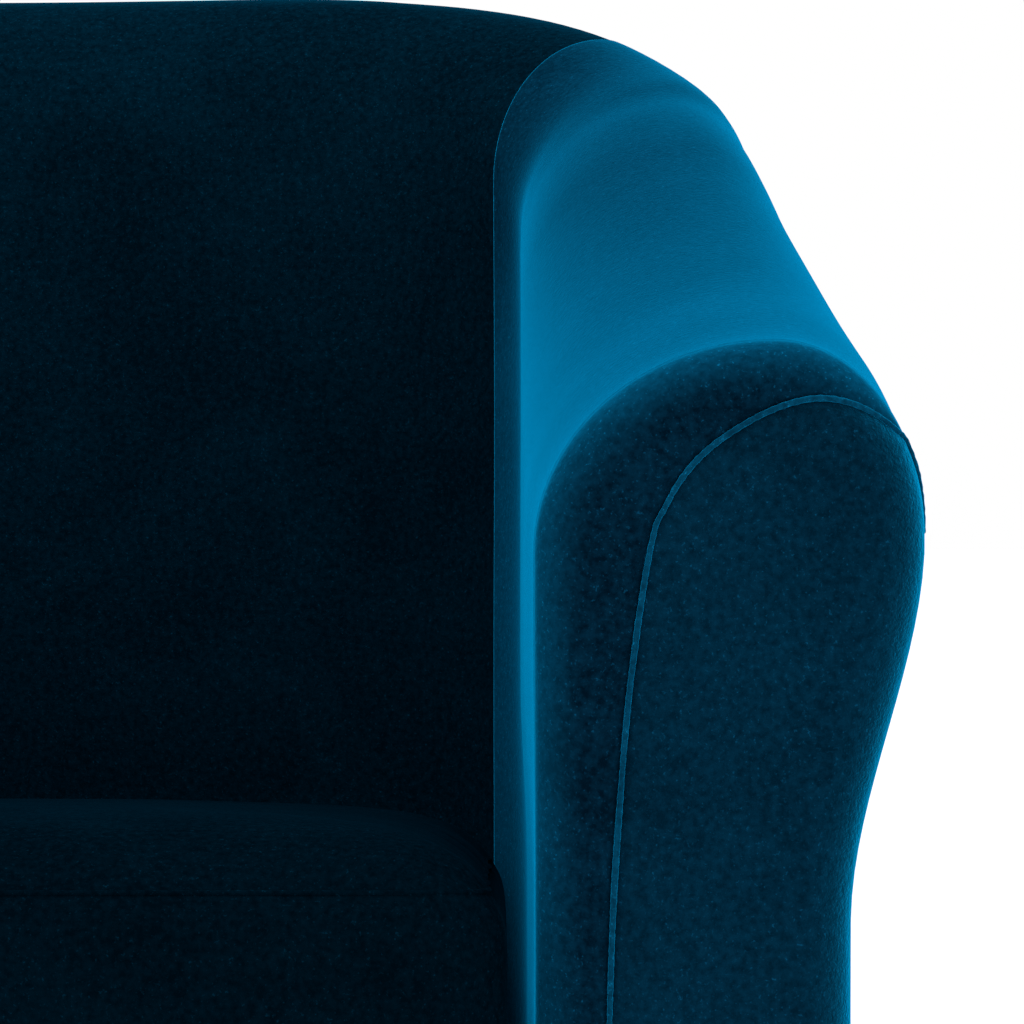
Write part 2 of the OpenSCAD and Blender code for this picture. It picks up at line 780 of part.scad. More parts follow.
front_rail();
back_rail();
left_side_rail();
right_side_rail();
corner_blocks();
left_front_panel();
right_front_panel();
left_back_post();
right_back_post();
left_arm_rail();
right_arm_rail();
back_top_rail();
back_slats();
front_left_leg();
front_right_leg();
rear_left_leg();
rear_right_leg();
leg_bolts();
t_nuts();
leg_glides();
seat_springs();
spring_clips();
spring_tie_wires();
back_webbing();
left_arm_webbing();
right_arm_webbing();
left_arm_foam();
right_arm_foam();
back_foam_pad();
left_front_pad();
right_front_pad();
border_foam();
left_arm_lining();
right_arm_lining();
back_lining();
back_tack_strips();
left_arm_cover();
right_arm_cover();
inside_back_cover();
left_arm_facing();
right_arm_facing();
left_facing_seam();
right_facing_seam();
left_outside_arm_cover();
right_outside_arm_cover();
outside_back_cover();
front_border_cover();
seat_deck();
seat_deck_cover();
dust_cover();
cushion_cover();
cushion_core();
cushion_zip();
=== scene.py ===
import math
import bmesh
import bpy
import numpy as np
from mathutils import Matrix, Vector
from mathutils.bvhtree import BVHTree


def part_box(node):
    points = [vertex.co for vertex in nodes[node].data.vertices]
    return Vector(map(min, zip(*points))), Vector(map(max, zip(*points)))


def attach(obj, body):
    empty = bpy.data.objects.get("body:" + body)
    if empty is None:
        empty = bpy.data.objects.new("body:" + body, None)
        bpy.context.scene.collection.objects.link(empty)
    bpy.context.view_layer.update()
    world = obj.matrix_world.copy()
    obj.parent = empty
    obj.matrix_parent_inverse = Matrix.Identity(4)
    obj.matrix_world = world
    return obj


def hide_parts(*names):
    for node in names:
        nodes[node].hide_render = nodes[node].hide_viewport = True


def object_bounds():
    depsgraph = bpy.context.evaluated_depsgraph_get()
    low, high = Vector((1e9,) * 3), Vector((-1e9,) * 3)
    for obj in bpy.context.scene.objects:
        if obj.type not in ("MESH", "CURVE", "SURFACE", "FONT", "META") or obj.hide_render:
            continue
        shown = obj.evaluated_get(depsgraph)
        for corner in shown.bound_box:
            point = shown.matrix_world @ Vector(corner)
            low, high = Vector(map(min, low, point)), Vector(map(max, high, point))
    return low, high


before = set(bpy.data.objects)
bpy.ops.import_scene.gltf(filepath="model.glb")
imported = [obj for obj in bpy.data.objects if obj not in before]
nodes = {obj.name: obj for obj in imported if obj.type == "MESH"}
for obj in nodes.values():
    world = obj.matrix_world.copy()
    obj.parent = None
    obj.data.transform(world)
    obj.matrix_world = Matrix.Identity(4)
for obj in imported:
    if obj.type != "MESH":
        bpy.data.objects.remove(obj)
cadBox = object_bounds()
mm = 0.001
print("frame loaded:", len(nodes), "nodes")

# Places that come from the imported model
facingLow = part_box("right_arm_facing")[0]
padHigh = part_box("right_front_pad")[1]
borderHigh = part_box("border_foam")[1]
borderCoverLow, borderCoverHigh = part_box("front_border_cover")

# The wall of the chair: straight arms, round corners and a gently curved back
wall = {
    "halfSeat": borderHigh.x + 0.3 * mm,
    "frontY": facingLow.y,
    "skirtZ": facingLow.z,
    "armTop": padHigh.z + 3 * mm,
    "backTop": cadBox[1].z,
    "halfWidth": cadBox[1].x,
    "seatDepth": 520 * mm,
    "armNeck": 91 * mm,
    "backThick": 88 * mm,
    "cornerRadius": 85 * mm,
    "backRadius": 700 * mm,
    "frontRound": 16 * mm,
    "lean": 0.16,
    "leanFrom": 430 * mm,
    "neckDrop": 112 * mm,
    "rollOut": 43 * mm,
    "backRollOut": 36 * mm,
    "riseIn": 61 * mm,
    "backRiseIn": 58 * mm,
    "riseOut": 56 * mm,
    "backRiseOut": 62 * mm,
    "topBlend": 34 * mm,
    "deckHeight": 358 * mm,
    "seatTilt": math.radians(5.2),
}
armWidth = wall["halfWidth"] - wall["halfSeat"]
backY = wall["frontY"] + wall["seatDepth"]
cornerX = wall["halfSeat"] - wall["cornerRadius"]
backCentreY = backY - wall["backRadius"]
innerReach = wall["backRadius"] - wall["cornerRadius"]
cornerY = backCentreY + math.sqrt(innerReach ** 2 - cornerX ** 2)
backAngle = math.asin(cornerX / innerReach)
straightLen = cornerY - wall["frontY"]
cornerLen = wall["cornerRadius"] * (math.pi / 2 - backAngle)
halfLen = straightLen + cornerLen + wall["backRadius"] * backAngle
splitS = straightLen + 0.42 * cornerLen
arcLen = wall["frontRound"] * math.pi / 2
shoulderU = 2.985  # the seam between inside and outside covers
belowSeam = 0.004  # how far past it the outside covers start


def smooth(t):
    # 3t^2 - 2t^3, held at 0 and 1
    c = np.clip(t, 0, 1)
    return c * c * (3 - 2 * c)


def mix(a, b, t):
    return a + (b - a) * t


def leanHeight(z):
    # height that leans: three quarters as steep below the seat, easing to full above it
    h = (z - wall["leanFrom"]) / mm
    return (0.75 * h + 0.25 * (np.sqrt(h * h + 3600) - 60)) * mm


def planAt(s):
    # along the arm, round a corner arc, then the long back arc; past the middle it is mirrored
    over = s > halfLen
    q = np.where(over, 2 * halfLen - s, s)
    a = np.clip((q - straightLen) / wall["cornerRadius"], 0, math.pi / 2 - backAngle)
    b = backAngle - (q - straightLen - cornerLen) / wall["backRadius"]
    onBack = q > straightLen + cornerLen
    x = np.where(onBack, wall["backRadius"] * np.sin(b), cornerX + wall["cornerRadius"] * np.cos(a))
    y = np.where(onBack, backCentreY + wall["backRadius"] * np.cos(b),
                 np.where(q > straightLen, cornerY + wall["cornerRadius"] * np.sin(a), wall["frontY"] + q))
    dx = np.where(onBack, np.sin(b), np.cos(a))
    dy = np.where(onBack, np.cos(b), np.sin(a))
    side = np.where(over, -1.0, 1.0)
    return x * side, y, dx * side, dy


def outerS(s):
    # distance from the nearer arm front, measured along the outer face
    q = np.minimum(s, 2 * halfLen - s)
    return q + 1.18 * np.clip(q - straightLen, 0, cornerLen)


def topCurve(s):
    # a power curve along the arm plus a smooth sweep round the corner
    w = outerS(s) / mm
    rise = 0.58 * np.clip(w / 345, 0, 1) ** 1.56 + 0.42 * smooth((w - 305) / 317)
    return wall["armTop"] + (wall["backTop"] - wall["armTop"]) * rise


def topZ(s):
    # the top line averaged over a short stretch, as the stretched cloth takes it
    spread = np.linspace(-1, 1, 9) * wall["topBlend"]
    return sum(topCurve(np.abs(s + k)) for k in spread) / len(spread)


def sectionSizes(s):
    # half widths and heights of the roll's two quarter ellipses, and the neck, arm to back
    t = smooth((outerS(s) / mm - 50) / 430)
    rollIn = mix(armWidth - wall["rollOut"], wall["backThick"] - wall["backRollOut"], t)
    rollOut = mix(wall["rollOut"], wall["backRollOut"], t)
    riseIn = mix(wall["riseIn"], wall["backRiseIn"], t)
    riseOut = mix(wall["riseOut"], wall["backRiseOut"], t)
    neck = mix(wall["armNeck"], wall["backThick"] - 6 * mm, t)
    return rollIn, rollOut, riseIn, riseOut, neck


def deckZ(y):
    return wall["deckHeight"] - math.tan(wall["seatTilt"]) * (y - wall["frontY"])


def innerFoot(s, y):
    # lower edge of the inner face: the skirt at the very front, just under the platform behind
    return mix(wall["skirtZ"], deckZ(y) - 7 * mm, np.clip((s - 20 * mm) / (8 * mm), 0, 1))


def sectionAt(s, u, d, lowZ):
    # u: 0 to 1 up the inner face, to 3 over the roll, to 4 down the outer face; d is depth
    rollIn, rollOut, riseIn, riseOut, neck = sectionSizes(s)
    top = topZ(s)
    f = (np.clip(u, 1, 2) - 1) * math.pi / 2
    g = (np.clip(u, 2, 3) - 2) * math.pi / 2
    zOut = mix(top - riseOut, wall["skirtZ"], np.clip(u - 3, 0, 1))
    nOut = mix(rollIn + rollOut, neck, smooth((top - riseOut - zOut) / wall["neckDrop"]))
    n = np.where(u <= 1, d, np.where(u <= 2, rollIn - (rollIn - d) * np.cos(f),
        np.where(u <= 3, rollIn + (rollOut - d) * np.sin(g), nOut - d)))
    z = np.where(u <= 1, mix(lowZ, top - riseIn, np.clip(u, 0, 1)),
        np.where(u <= 2, top - riseIn + (riseIn - d) * np.sin(f),
        np.where(u <= 3, top - riseOut + (riseOut - d) * np.cos(g), zOut)))
    return n, z


def wallPoint(s, u, d):
    # the section set out from the plan line, sheared back by the lean
    x, y, dx, dy = planAt(s)
    n, z = sectionAt(s, u, d, innerFoot(np.minimum(s, 2 * halfLen - s), y))
    near = np.minimum(s, 2 * halfLen - s)
    lean = wall["lean"] * leanHeight(z) * smooth((near / mm - 60) / 340)
    return np.stack([x + dx * n, y + dy * n + lean, z * np.ones_like(n)], -1)


def seamDepth(u):
    # how far in from the edge the facing seam runs: even, deeper at the roll, then out to nothing
    fall = 1 - np.clip((u - 1.3) / 1.37, 0, 1) ** 1.35
    return mix(21.0, 31.4, smooth((u - 0.62) / 0.58)) * fall * mm


def seamPath(u):
    # the same distance followed over the rounded front edge
    e = seamDepth(u)
    r = wall["frontRound"]
    turn = r * np.arccos(np.clip(1 - e / r, 0, 1))
    return np.maximum(np.where(e > r, arcLen + e - r, turn), 1 * mm)


def frontPoint(u, p, d):
    # p runs over the front edge: a quarter circle from the side, then flat across the front
    r = wall["frontRound"]
    t = np.clip(p / r, 0, math.pi / 2)
    s = r - (r - d) * np.sin(t)
    depth = r - (r - d) * np.cos(t) + np.maximum(p - arcLen, 0)
    # the line is evened out along u, more so further in, as the seam turns softer than the edge
    spread = 0.2 * smooth(depth / (20 * mm)) * smooth(u / 0.4) * smooth((3 - u) / 0.4)
    found = [sectionAt(s, u + k * spread, depth, wall["skirtZ"]) for k in np.linspace(-1, 1, 7)]
    n = sum(f[0] for f in found) / len(found)
    z = sum(f[1] for f in found) / len(found)
    return np.stack([wall["halfSeat"] + n, wall["frontY"] + s * np.ones_like(n), z * np.ones_like(n)], -1)


def meshObject(name, points, faces, smoothFaces=True):
    mesh = bpy.data.meshes.new(name)
    faces = np.asarray(faces, np.int32)
    mesh.vertices.add(len(points))
    mesh.vertices.foreach_set("co", np.asarray(points, np.float32).ravel())
    mesh.loops.add(faces.size)
    mesh.loops.foreach_set("vertex_index", faces.ravel())
    mesh.polygons.add(len(faces))
    mesh.polygons.foreach_set("loop_start", np.arange(0, faces.size, faces.shape[1], dtype=np.int32))
    mesh.polygons.foreach_set("use_smooth", np.full(len(faces), smoothFaces))
    mesh.update(calc_edges=True)
    obj = bpy.data.objects.new(name, mesh)
    bpy.context.scene.collection.objects.link(obj)
    return obj


def gridFaces(rows, cols, start=0):
    # quads of a grid, wound so that they face outwards
    r, c = np.meshgrid(np.arange(rows - 1), np.arange(cols - 1), indexing="ij")
    a = start + r * cols + c
    return np.stack([a, a + 1, a + 1 + cols, a + cols], -1).reshape(-1, 4)


def slab(name, outer, inner, closedLast=False):
    # a closed sheet: outer grid, inner grid turned round, and the rims between them
    rows, cols = outer.shape[:2]
    size = rows * cols
    at = np.arange(size).reshape(rows, cols)
    lines = [at[:, 0], at[-1, :], at[0, ::-1]] + ([] if closedLast else [at[::-1, -1]])
    rims = [np.stack([k[:-1], k[1:], k[1:] + size, k[:-1] + size], -1) for k in lines]
    faces = np.concatenate([gridFaces(rows, cols), gridFaces(rows, cols, size)[:, ::-1]] + rims)
    return meshObject(name, np.concatenate([outer.reshape(-1, 3), inner.reshape(-1, 3)]), faces)


def mirrored(grid):
    # the left-hand twin of a grid, its rows turned so that it still faces outwards
    twin = grid[::-1].copy()
    twin[..., 0] *= -1
    return twin


def gridNormals(grid):
    # cross product of the grid's two directions, outwards
    along = np.gradient(grid, axis=0)
    across = np.gradient(grid, axis=1)
    n = np.cross(across, along)
    return n / np.maximum(np.linalg.norm(n, axis=-1, keepdims=True), 1e-12)


def waves(points, size, seed):
    # slow uneven swell: five sine waves in different directions, about -1 to 1
    rng = np.random.default_rng(seed)
    total = np.zeros(points.shape[:-1])
    for k in range(5):
        direction = rng.normal(size=3)
        direction /= np.linalg.norm(direction)
        total += np.sin(points @ direction * 2 * math.pi / (size * (0.6 + 0.25 * k)) + rng.uniform(0, 6.3))
    return total / 3


def welded(obj, distance=0.02 * mm):
    # joins doubled points and points every face outwards
    bm = bmesh.new()
    bm.from_mesh(obj.data)
    bmesh.ops.remove_doubles(bm, verts=bm.verts, dist=distance)
    bmesh.ops.recalc_face_normals(bm, faces=bm.faces)
    bm.to_mesh(obj.data)
    bm.free()
    return obj


def tube(name, path, radii, up, sides=8):
    # rings square to the path, tapering to closed ends; up fixes how they turn
    along = np.gradient(path, axis=0)
    along /= np.linalg.norm(along, axis=1, keepdims=True)
    side = np.cross(along, up)
    side /= np.maximum(np.linalg.norm(side, axis=1, keepdims=True), 1e-9)
    rise = np.cross(side, along)
    t = np.linspace(0, 2 * math.pi, sides, endpoint=False)
    r = np.array(radii) * np.ones(len(path))
    r[0] = r[-1] = 1e-6
    rings = path[:, None] + r[:, None, None] * (np.cos(t)[None, :, None] * side[:, None]
            + np.sin(t)[None, :, None] * rise[:, None])
    n = len(path)
    i, k = np.meshgrid(np.arange(n - 1), np.arange(sides), indexing="ij")
    m = (k + 1) % sides
    faces = np.stack([i * sides + k, (i + 1) * sides + k, (i + 1) * sides + m, i * sides + m], -1)
    return welded(meshObject(name, rings.reshape(-1, 3), faces.reshape(-1, 4)))


def resampled(path, spacing):
    # the same line with evenly spaced points
    step = np.linalg.norm(np.diff(path, axis=0), axis=1)
    at = np.concatenate([[0], np.cumsum(step)])
    want = np.linspace(0, at[-1], max(int(at[-1] / spacing), 4))
    return np.stack([np.interp(want, at, path[:, k]) for k in range(3)], 1)


# Shared effects for the materials

def nodeGroup(name, inputs, outputs):
    group = bpy.data.node_groups.new(name, "ShaderNodeTree")
    for label, value in inputs:
        socket = group.interface.new_socket(label, in_out="INPUT", socket_type="NodeSocketFloat")
        socket.default_value = value
    for label in outputs:
        group.interface.new_socket(label, in_out="OUTPUT", socket_type="NodeSocketFloat")
    return group, group.nodes.new("NodeGroupInput"), group.nodes.new("NodeGroupOutput")


def addNode(tree, kind, links=(), values=(), **settings):
    node = tree.nodes.new(kind)
    for key, value in settings.items():
        setattr(node, key, value)
    for target, value in values:
        node.inputs[target].default_value = value
    for source, target in links:
        tree.links.new(source, node.inputs[target])
    return node


def mathNode(tree, operation, a, b):
    node = tree.nodes.new("ShaderNodeMath")
    node.operation = operation
    for socket, value in zip(node.inputs, (a, b)):
        if isinstance(value, (int, float)):
            socket.default_value = value
        else:
            tree.links.new(value, socket)
    return node.outputs[0]


def blended(tree, a, aShare, b, bShare):
    # the two values added together, each by its share
    return mathNode(tree, "ADD", mathNode(tree, "MULTIPLY", a, aShare), mathNode(tree, "MULTIPLY", b, bShare))


def heldNode(tree, value, high):
    # the value held between 0 and high
    return mathNode(tree, "MINIMUM", mathNode(tree, "MAXIMUM", value, 0.0), high)


def noiseNode(tree, coord, scale, detail, distortion=0.0):
    node = addNode(tree, "ShaderNodeTexNoise", [(coord, "Vector")],
                   [("Detail", detail), ("Roughness", 0.6), ("Distortion", distortion)])
    if isinstance(scale, (int, float)):
        node.inputs["Scale"].default_value = scale
    else:
        tree.links.new(scale, node.inputs["Scale"])
    return node.outputs["Fac"]


def pileGroup():
    # cut pile: upright tufts, clumps of them, and wide patches brushed different ways
    group, inp, out = nodeGroup("velvetPile",
        [("Tuft Scale", 1000.0), ("Clump Scale", 420.0), ("Brush Scale", 14.0)], ["Tone", "Height"])
    coord = group.nodes.new("ShaderNodeTexCoord").outputs["Object"]
    tuft = noiseNode(group, coord, inp.outputs["Tuft Scale"], 2.0)
    clump = noiseNode(group, coord, inp.outputs["Clump Scale"], 3.0)
    brush = noiseNode(group, coord, inp.outputs["Brush Scale"], 2.0, 0.8)
    # the few highest tufts show as light flecks
    fleck = mathNode(group, "MAXIMUM", mathNode(group, "SUBTRACT", tuft, 0.60), 0.0)
    patches = blended(group, clump, 0.68, brush, 0.32)
    tone = mathNode(group, "ADD", patches, mathNode(group, "MULTIPLY", fleck, 2.6))
    group.links.new(tone, out.inputs["Tone"])
    group.links.new(blended(group, tuft, 0.5, clump, 0.5), out.inputs["Height"])
    return group


def grainGroup():
    # wood: rings stretched along Z or X, with fine pores
    group, inp, out = nodeGroup("woodGrain", [("Ring Scale", 40.0), ("Along X", 0.05), ("Along Z", 1.0)],
                                ["Ring", "Pore"])
    coord = group.nodes.new("ShaderNodeTexCoord").outputs["Object"]
    parts = addNode(group, "ShaderNodeSeparateXYZ", [(coord, 0)])
    joined = group.nodes.new("ShaderNodeCombineXYZ")
    group.links.new(mathNode(group, "MULTIPLY", parts.outputs[0], inp.outputs["Along X"]), joined.inputs[0])
    group.links.new(parts.outputs[1], joined.inputs[1])
    group.links.new(mathNode(group, "MULTIPLY", parts.outputs[2], inp.outputs["Along Z"]), joined.inputs[2])
    ring = noiseNode(group, joined.outputs[0], inp.outputs["Ring Scale"], 3.0, 1.2)
    poreScale = mathNode(group, "MULTIPLY", inp.outputs["Ring Scale"], 14.0)
    pore = noiseNode(group, joined.outputs[0], poreScale, 2.0)
    group.links.new(ring, out.inputs["Ring"])
    group.links.new(pore, out.inputs["Pore"])
    return group


def weaveGroup():
    # plain weave on any face: threads along X, Y and Z as sine ridges, plus slub
    group, inp, out = nodeGroup("plainWeave", [("Threads", 5000.0), ("Slub Scale", 120.0)],
                                ["Thread", "Slub"])
    coord = group.nodes.new("ShaderNodeTexCoord").outputs["Object"]
    parts = addNode(group, "ShaderNodeSeparateXYZ", [(coord, 0)])
    ridges = []
    for k in range(3):
        turn = mathNode(group, "MULTIPLY", parts.outputs[k], inp.outputs["Threads"])
        ridges.append(mathNode(group, "SINE", turn, 0.0))
    total = mathNode(group, "ADD", mathNode(group, "ADD", ridges[0], ridges[1]), ridges[2])
    thread = mathNode(group, "ADD", mathNode(group, "MULTIPLY", total, 0.17), 0.5)
    group.links.new(thread, out.inputs["Thread"])
    group.links.new(noiseNode(group, coord, inp.outputs["Slub Scale"], 3.0), out.inputs["Slub"])
    return group


def ramp(tree, value, stops):
    node = addNode(tree, "ShaderNodeValToRGB", [(value, "Fac")])
    while len(node.color_ramp.elements) < len(stops):
        node.color_ramp.elements.new(0.5)
    for element, (position, colour) in zip(node.color_ramp.elements, stops):
        element.position = position
        element.color = (*colour, 1.0)
    return node.outputs["Color"]


def newMaterial(name):
    material = bpy.data.materials.new(name)
    material.use_nodes = True
    tree = material.node_tree
    return material, tree, next(n for n in tree.nodes if n.type == "BSDF_PRINCIPLED")


def bumped(tree, shader, height, strength, distance):
    bump = addNode(tree, "ShaderNodeBump", [(height, "Height")],
                   [("Strength", strength), ("Distance", distance)])
    tree.links.new(bump.outputs["Normal"], shader.inputs["Normal"])


def useGroup(tree, group, **values):
    node = tree.nodes.new("ShaderNodeGroup")
    node.node_tree = group
    for key, value in values.items():
        node.inputs[key.replace("_", " ")].default_value = value
    return node


def pileRamp(tree, tone, look):
    flecked = tuple(2.6 * c for c in look["light"])
    return ramp(tree, tone, [(0.38, look["dark"]), (0.64, look["light"]), (0.95, flecked)])


# Each panel gets its own copy of the velvet with its own sheen settings; the arms' copy is lighter with
# painted sheen, the inside back's and the seat's are darker with painted shade, and the seams' is lighter
# with a painted highlight
velvetLook = {
    "dark": (0.0002, 0.0060, 0.0135),
    "light": (0.0004, 0.0180, 0.0390),
    "sheenTint": (0.0, 0.40, 0.82),
    "sheenWeight": 1.0,
    "sheenRoughness": 0.22,
    "roughness": 0.85,
    "bump": 0.6,
}
# painted sheen: the arm's base colours are several times lighter than the velvet's, standing in for the light
# its inside and top catch
armPaintedSheenLook = dict(velvetLook, dark=(0.0003, 0.0400, 0.0860), light=(0.0006, 0.0640, 0.1380),
               sheenTint=(0.0, 0.36, 0.74), sheenRoughness=0.28, bump=0.3,
               turn=20 * mm, below=10 * mm, shadeFade=70 * mm, shadeMost=0.85)
facingLook = dict(velvetLook, dark=(0.0003, 0.0056, 0.0132), light=(0.0008, 0.0180, 0.0400),
                  sheenTint=(0.0, 0.50, 1.0), sheenRoughness=0.45, bump=0.8)
# painted shade: the inside back's base colours are darker than the velvet's
backPaintedShadeLook = dict(velvetLook, dark=(0.0001, 0.0048, 0.0100), light=(0.0002, 0.0115, 0.0235),
                sheenWeight=0.22, bump=0.4)
# painted shade: the seat cushion, its welts and the front border get a still darker copy of the velvet
seatPaintedShadeLook = dict(backPaintedShadeLook, dark=(0.0001, 0.0026, 0.0054), light=(0.0002, 0.0058, 0.0118),
                sheenWeight=0.02, bump=0.2)
# painted highlight: the seam ridges get a lighter copy of the velvet
seamPaintedHighlightLook = dict(velvetLook, dark=(0.0006, 0.0240, 0.0520), light=(0.0012, 0.0560, 0.1180),
                sheenRoughness=0.4, bump=0.3)
pile = pileGroup()
grain = grainGroup()
weave = weaveGroup()


def velvetMaterial(name, look, frontLook=None):
    material, tree, shader = newMaterial(name)
    node = useGroup(tree, pile)
    colour = pileRamp(tree, node.outputs["Tone"], look)
    if frontLook:
        # painted sheen and shade: over the rounded front edge the colour goes from the darker front look to
        # the lighter arm look as painted sheen, and painted shade takes part of it back again where the arm
        # rises: (1 - (1 - share) cubed) * (1 - high)
        coord = tree.nodes.new("ShaderNodeTexCoord").outputs["Object"]
        place = addNode(tree, "ShaderNodeSeparateXYZ", [(coord, 0)])
        back = mathNode(tree, "SUBTRACT", place.outputs["Y"], wall["frontY"])
        share = heldNode(tree, mathNode(tree, "DIVIDE", back, look["turn"]), 1.0)
        # painted shade: above the arm top the lighter arm colour gives way to the darker front look again,
        # towards the back
        high = mathNode(tree, "SUBTRACT", place.outputs["Z"], wall["armTop"] - look["below"])
        high = heldNode(tree, mathNode(tree, "DIVIDE", high, look["shadeFade"]), look["shadeMost"])
        rest = mathNode(tree, "POWER", mathNode(tree, "SUBTRACT", 1.0, share), 3.0)
        share = mathNode(tree, "MULTIPLY", mathNode(tree, "SUBTRACT", 1.0, rest),
                         mathNode(tree, "SUBTRACT", 1.0, high))
        front = pileRamp(tree, node.outputs["Tone"], frontLook)
        colour = addNode(tree, "ShaderNodeMix", [(share, 0), (front, 6), (colour, 7)],
                         data_type="RGBA").outputs[2]
    tree.links.new(colour, shader.inputs["Base Color"])
    bumped(tree, shader, node.outputs["Height"], look["bump"], 0.9 * mm)
    shader.inputs["Roughness"].default_value = look["roughness"]
    shader.inputs["Specular IOR Level"].default_value = 0.0
    shader.inputs["Sheen Weight"].default_value = look["sheenWeight"]
    shader.inputs["Sheen Roughness"].default_value = look["sheenRoughness"]
    shader.inputs["Sheen Tint"].default_value = (*look["sheenTint"], 1.0)
    return material


def woodMaterial(name, dark, light, roughness, rings, alongX=0.05, alongZ=1.0, coat=0.0):
    material, tree, shader = newMaterial(name)
    node = useGroup(tree, grain, Ring_Scale=rings, Along_X=alongX, Along_Z=alongZ)
    both = blended(tree, node.outputs["Ring"], 0.75, node.outputs["Pore"], 0.25)
    middle = tuple((a + b) / 2 for a, b in zip(dark, light))
    colour = ramp(tree, both, [(0.36, dark), (0.5, middle), (0.62, light)])
    tree.links.new(colour, shader.inputs["Base Color"])
    rough = addNode(tree, "ShaderNodeMapRange", [(node.outputs["Pore"], "Value")],
                    [("To Min", roughness - 0.08), ("To Max", roughness + 0.12)])
    tree.links.new(rough.outputs[0], shader.inputs["Roughness"])
    bumped(tree, shader, node.outputs["Pore"], 0.25, 0.3 * mm)
    shader.inputs["Coat Weight"].default_value = coat
    shader.inputs["Coat Roughness"].default_value = 0.3
    return material


def noiseMaterial(name, dark, light, scale, roughness, bump, distance, metallic=0.0):
    # one noise for colour, roughness and bump
    material, tree, shader = newMaterial(name)
    coord = tree.nodes.new("ShaderNodeTexCoord").outputs["Object"]
    value = noiseNode(tree, coord, scale, 4.0)
    tree.links.new(ramp(tree, value, [(0.35, dark), (0.65, light)]), shader.inputs["Base Color"])
    rough = addNode(tree, "ShaderNodeMapRange", [(value, "Value")],
                    [("To Min", roughness - 0.1), ("To Max", roughness + 0.1)])
    tree.links.new(rough.outputs[0], shader.inputs["Roughness"])
    bumped(tree, shader, value, bump, distance)
    shader.inputs["Metallic"].default_value = metallic
    return material


def wovenMaterial(name, dark, light, threads, roughness, bump):
    material, tree, shader = newMaterial(name)
    node = useGroup(tree, weave, Threads=threads)
    both = blended(tree, node.outputs["Thread"], 0.5, node.outputs["Slub"], 0.5)
    tree.links.new(ramp(tree, both, [(0.3, dark), (0.7, light)]), shader.inputs["Base Color"])
    shader.inputs["Roughness"].default_value = roughness
    bumped(tree, shader, node.outputs["Thread"], bump, 0.4 * mm)
    return material


velvet = velvetMaterial("petrolVelvet", velvetLook)
# lit and shaded copies of one velvet: painted sheen on the arms, painted shade on the inside back and seat, a
# painted highlight on the seams
armVelvetPaintedSheen = velvetMaterial("armVelvetPaintedSheen", armPaintedSheenLook, facingLook)
facingVelvet = velvetMaterial("facingVelvet", facingLook)
backVelvetPaintedShade = velvetMaterial("backVelvetPaintedShade", backPaintedShadeLook)
seatVelvetPaintedShade = velvetMaterial("seatVelvetPaintedShade", seatPaintedShadeLook)
seamVelvetPaintedHighlight = velvetMaterial("seamVelvetPaintedHighlight", seamPaintedHighlightLook)
foamYellow = noiseMaterial("foam", (0.70, 0.60, 0.33), (0.86, 0.79, 0.52), 500, 0.9, 0.6, 0.8 * mm)
beechWood = woodMaterial("beech", (0.42, 0.25, 0.12), (0.66, 0.46, 0.27), 0.55, 30)
plyWood = woodMaterial("plywood", (0.38, 0.25, 0.13), (0.62, 0.45, 0.27), 0.6, 22, 0.6, 0.08)
walnutWood = woodMaterial("walnut", (0.030, 0.014, 0.007), (0.105, 0.052, 0.026), 0.38, 55, 1.0, 0.06, 0.25)
bareSteel = noiseMaterial("steel", (0.42, 0.43, 0.45), (0.62, 0.63, 0.65), 300, 0.35, 0.15, 0.1 * mm, 1.0)
glidePlastic = noiseMaterial("glidePlastic", (0.012, 0.012, 0.013), (0.03, 0.03, 0.032), 900, 0.5, 0.2,
                             0.1 * mm)
webbingCloth = wovenMaterial("webbing", (0.03, 0.028, 0.025), (0.12, 0.11, 0.10), 2600, 0.85, 0.6)
liningBoard = noiseMaterial("liningBoard", (0.22, 0.16, 0.10), (0.36, 0.28, 0.19), 260, 0.9, 0.3, 0.3 * mm)
feltGrey = noiseMaterial("felt", (0.10, 0.10, 0.10), (0.30, 0.29, 0.28), 420, 0.95, 0.7, 0.8 * mm)
platformCloth = wovenMaterial("platformCloth", (0.006, 0.007, 0.008), (0.035, 0.037, 0.040), 3600, 0.8, 0.5)
dustCloth = noiseMaterial("dustCloth", (0.008, 0.008, 0.009), (0.040, 0.040, 0.042), 700, 0.9, 0.5, 0.4 * mm)
zipTape = wovenMaterial("zipTape", (0.004, 0.012, 0.018), (0.02, 0.05, 0.07), 4200, 0.7, 0.5)
print("materials made")

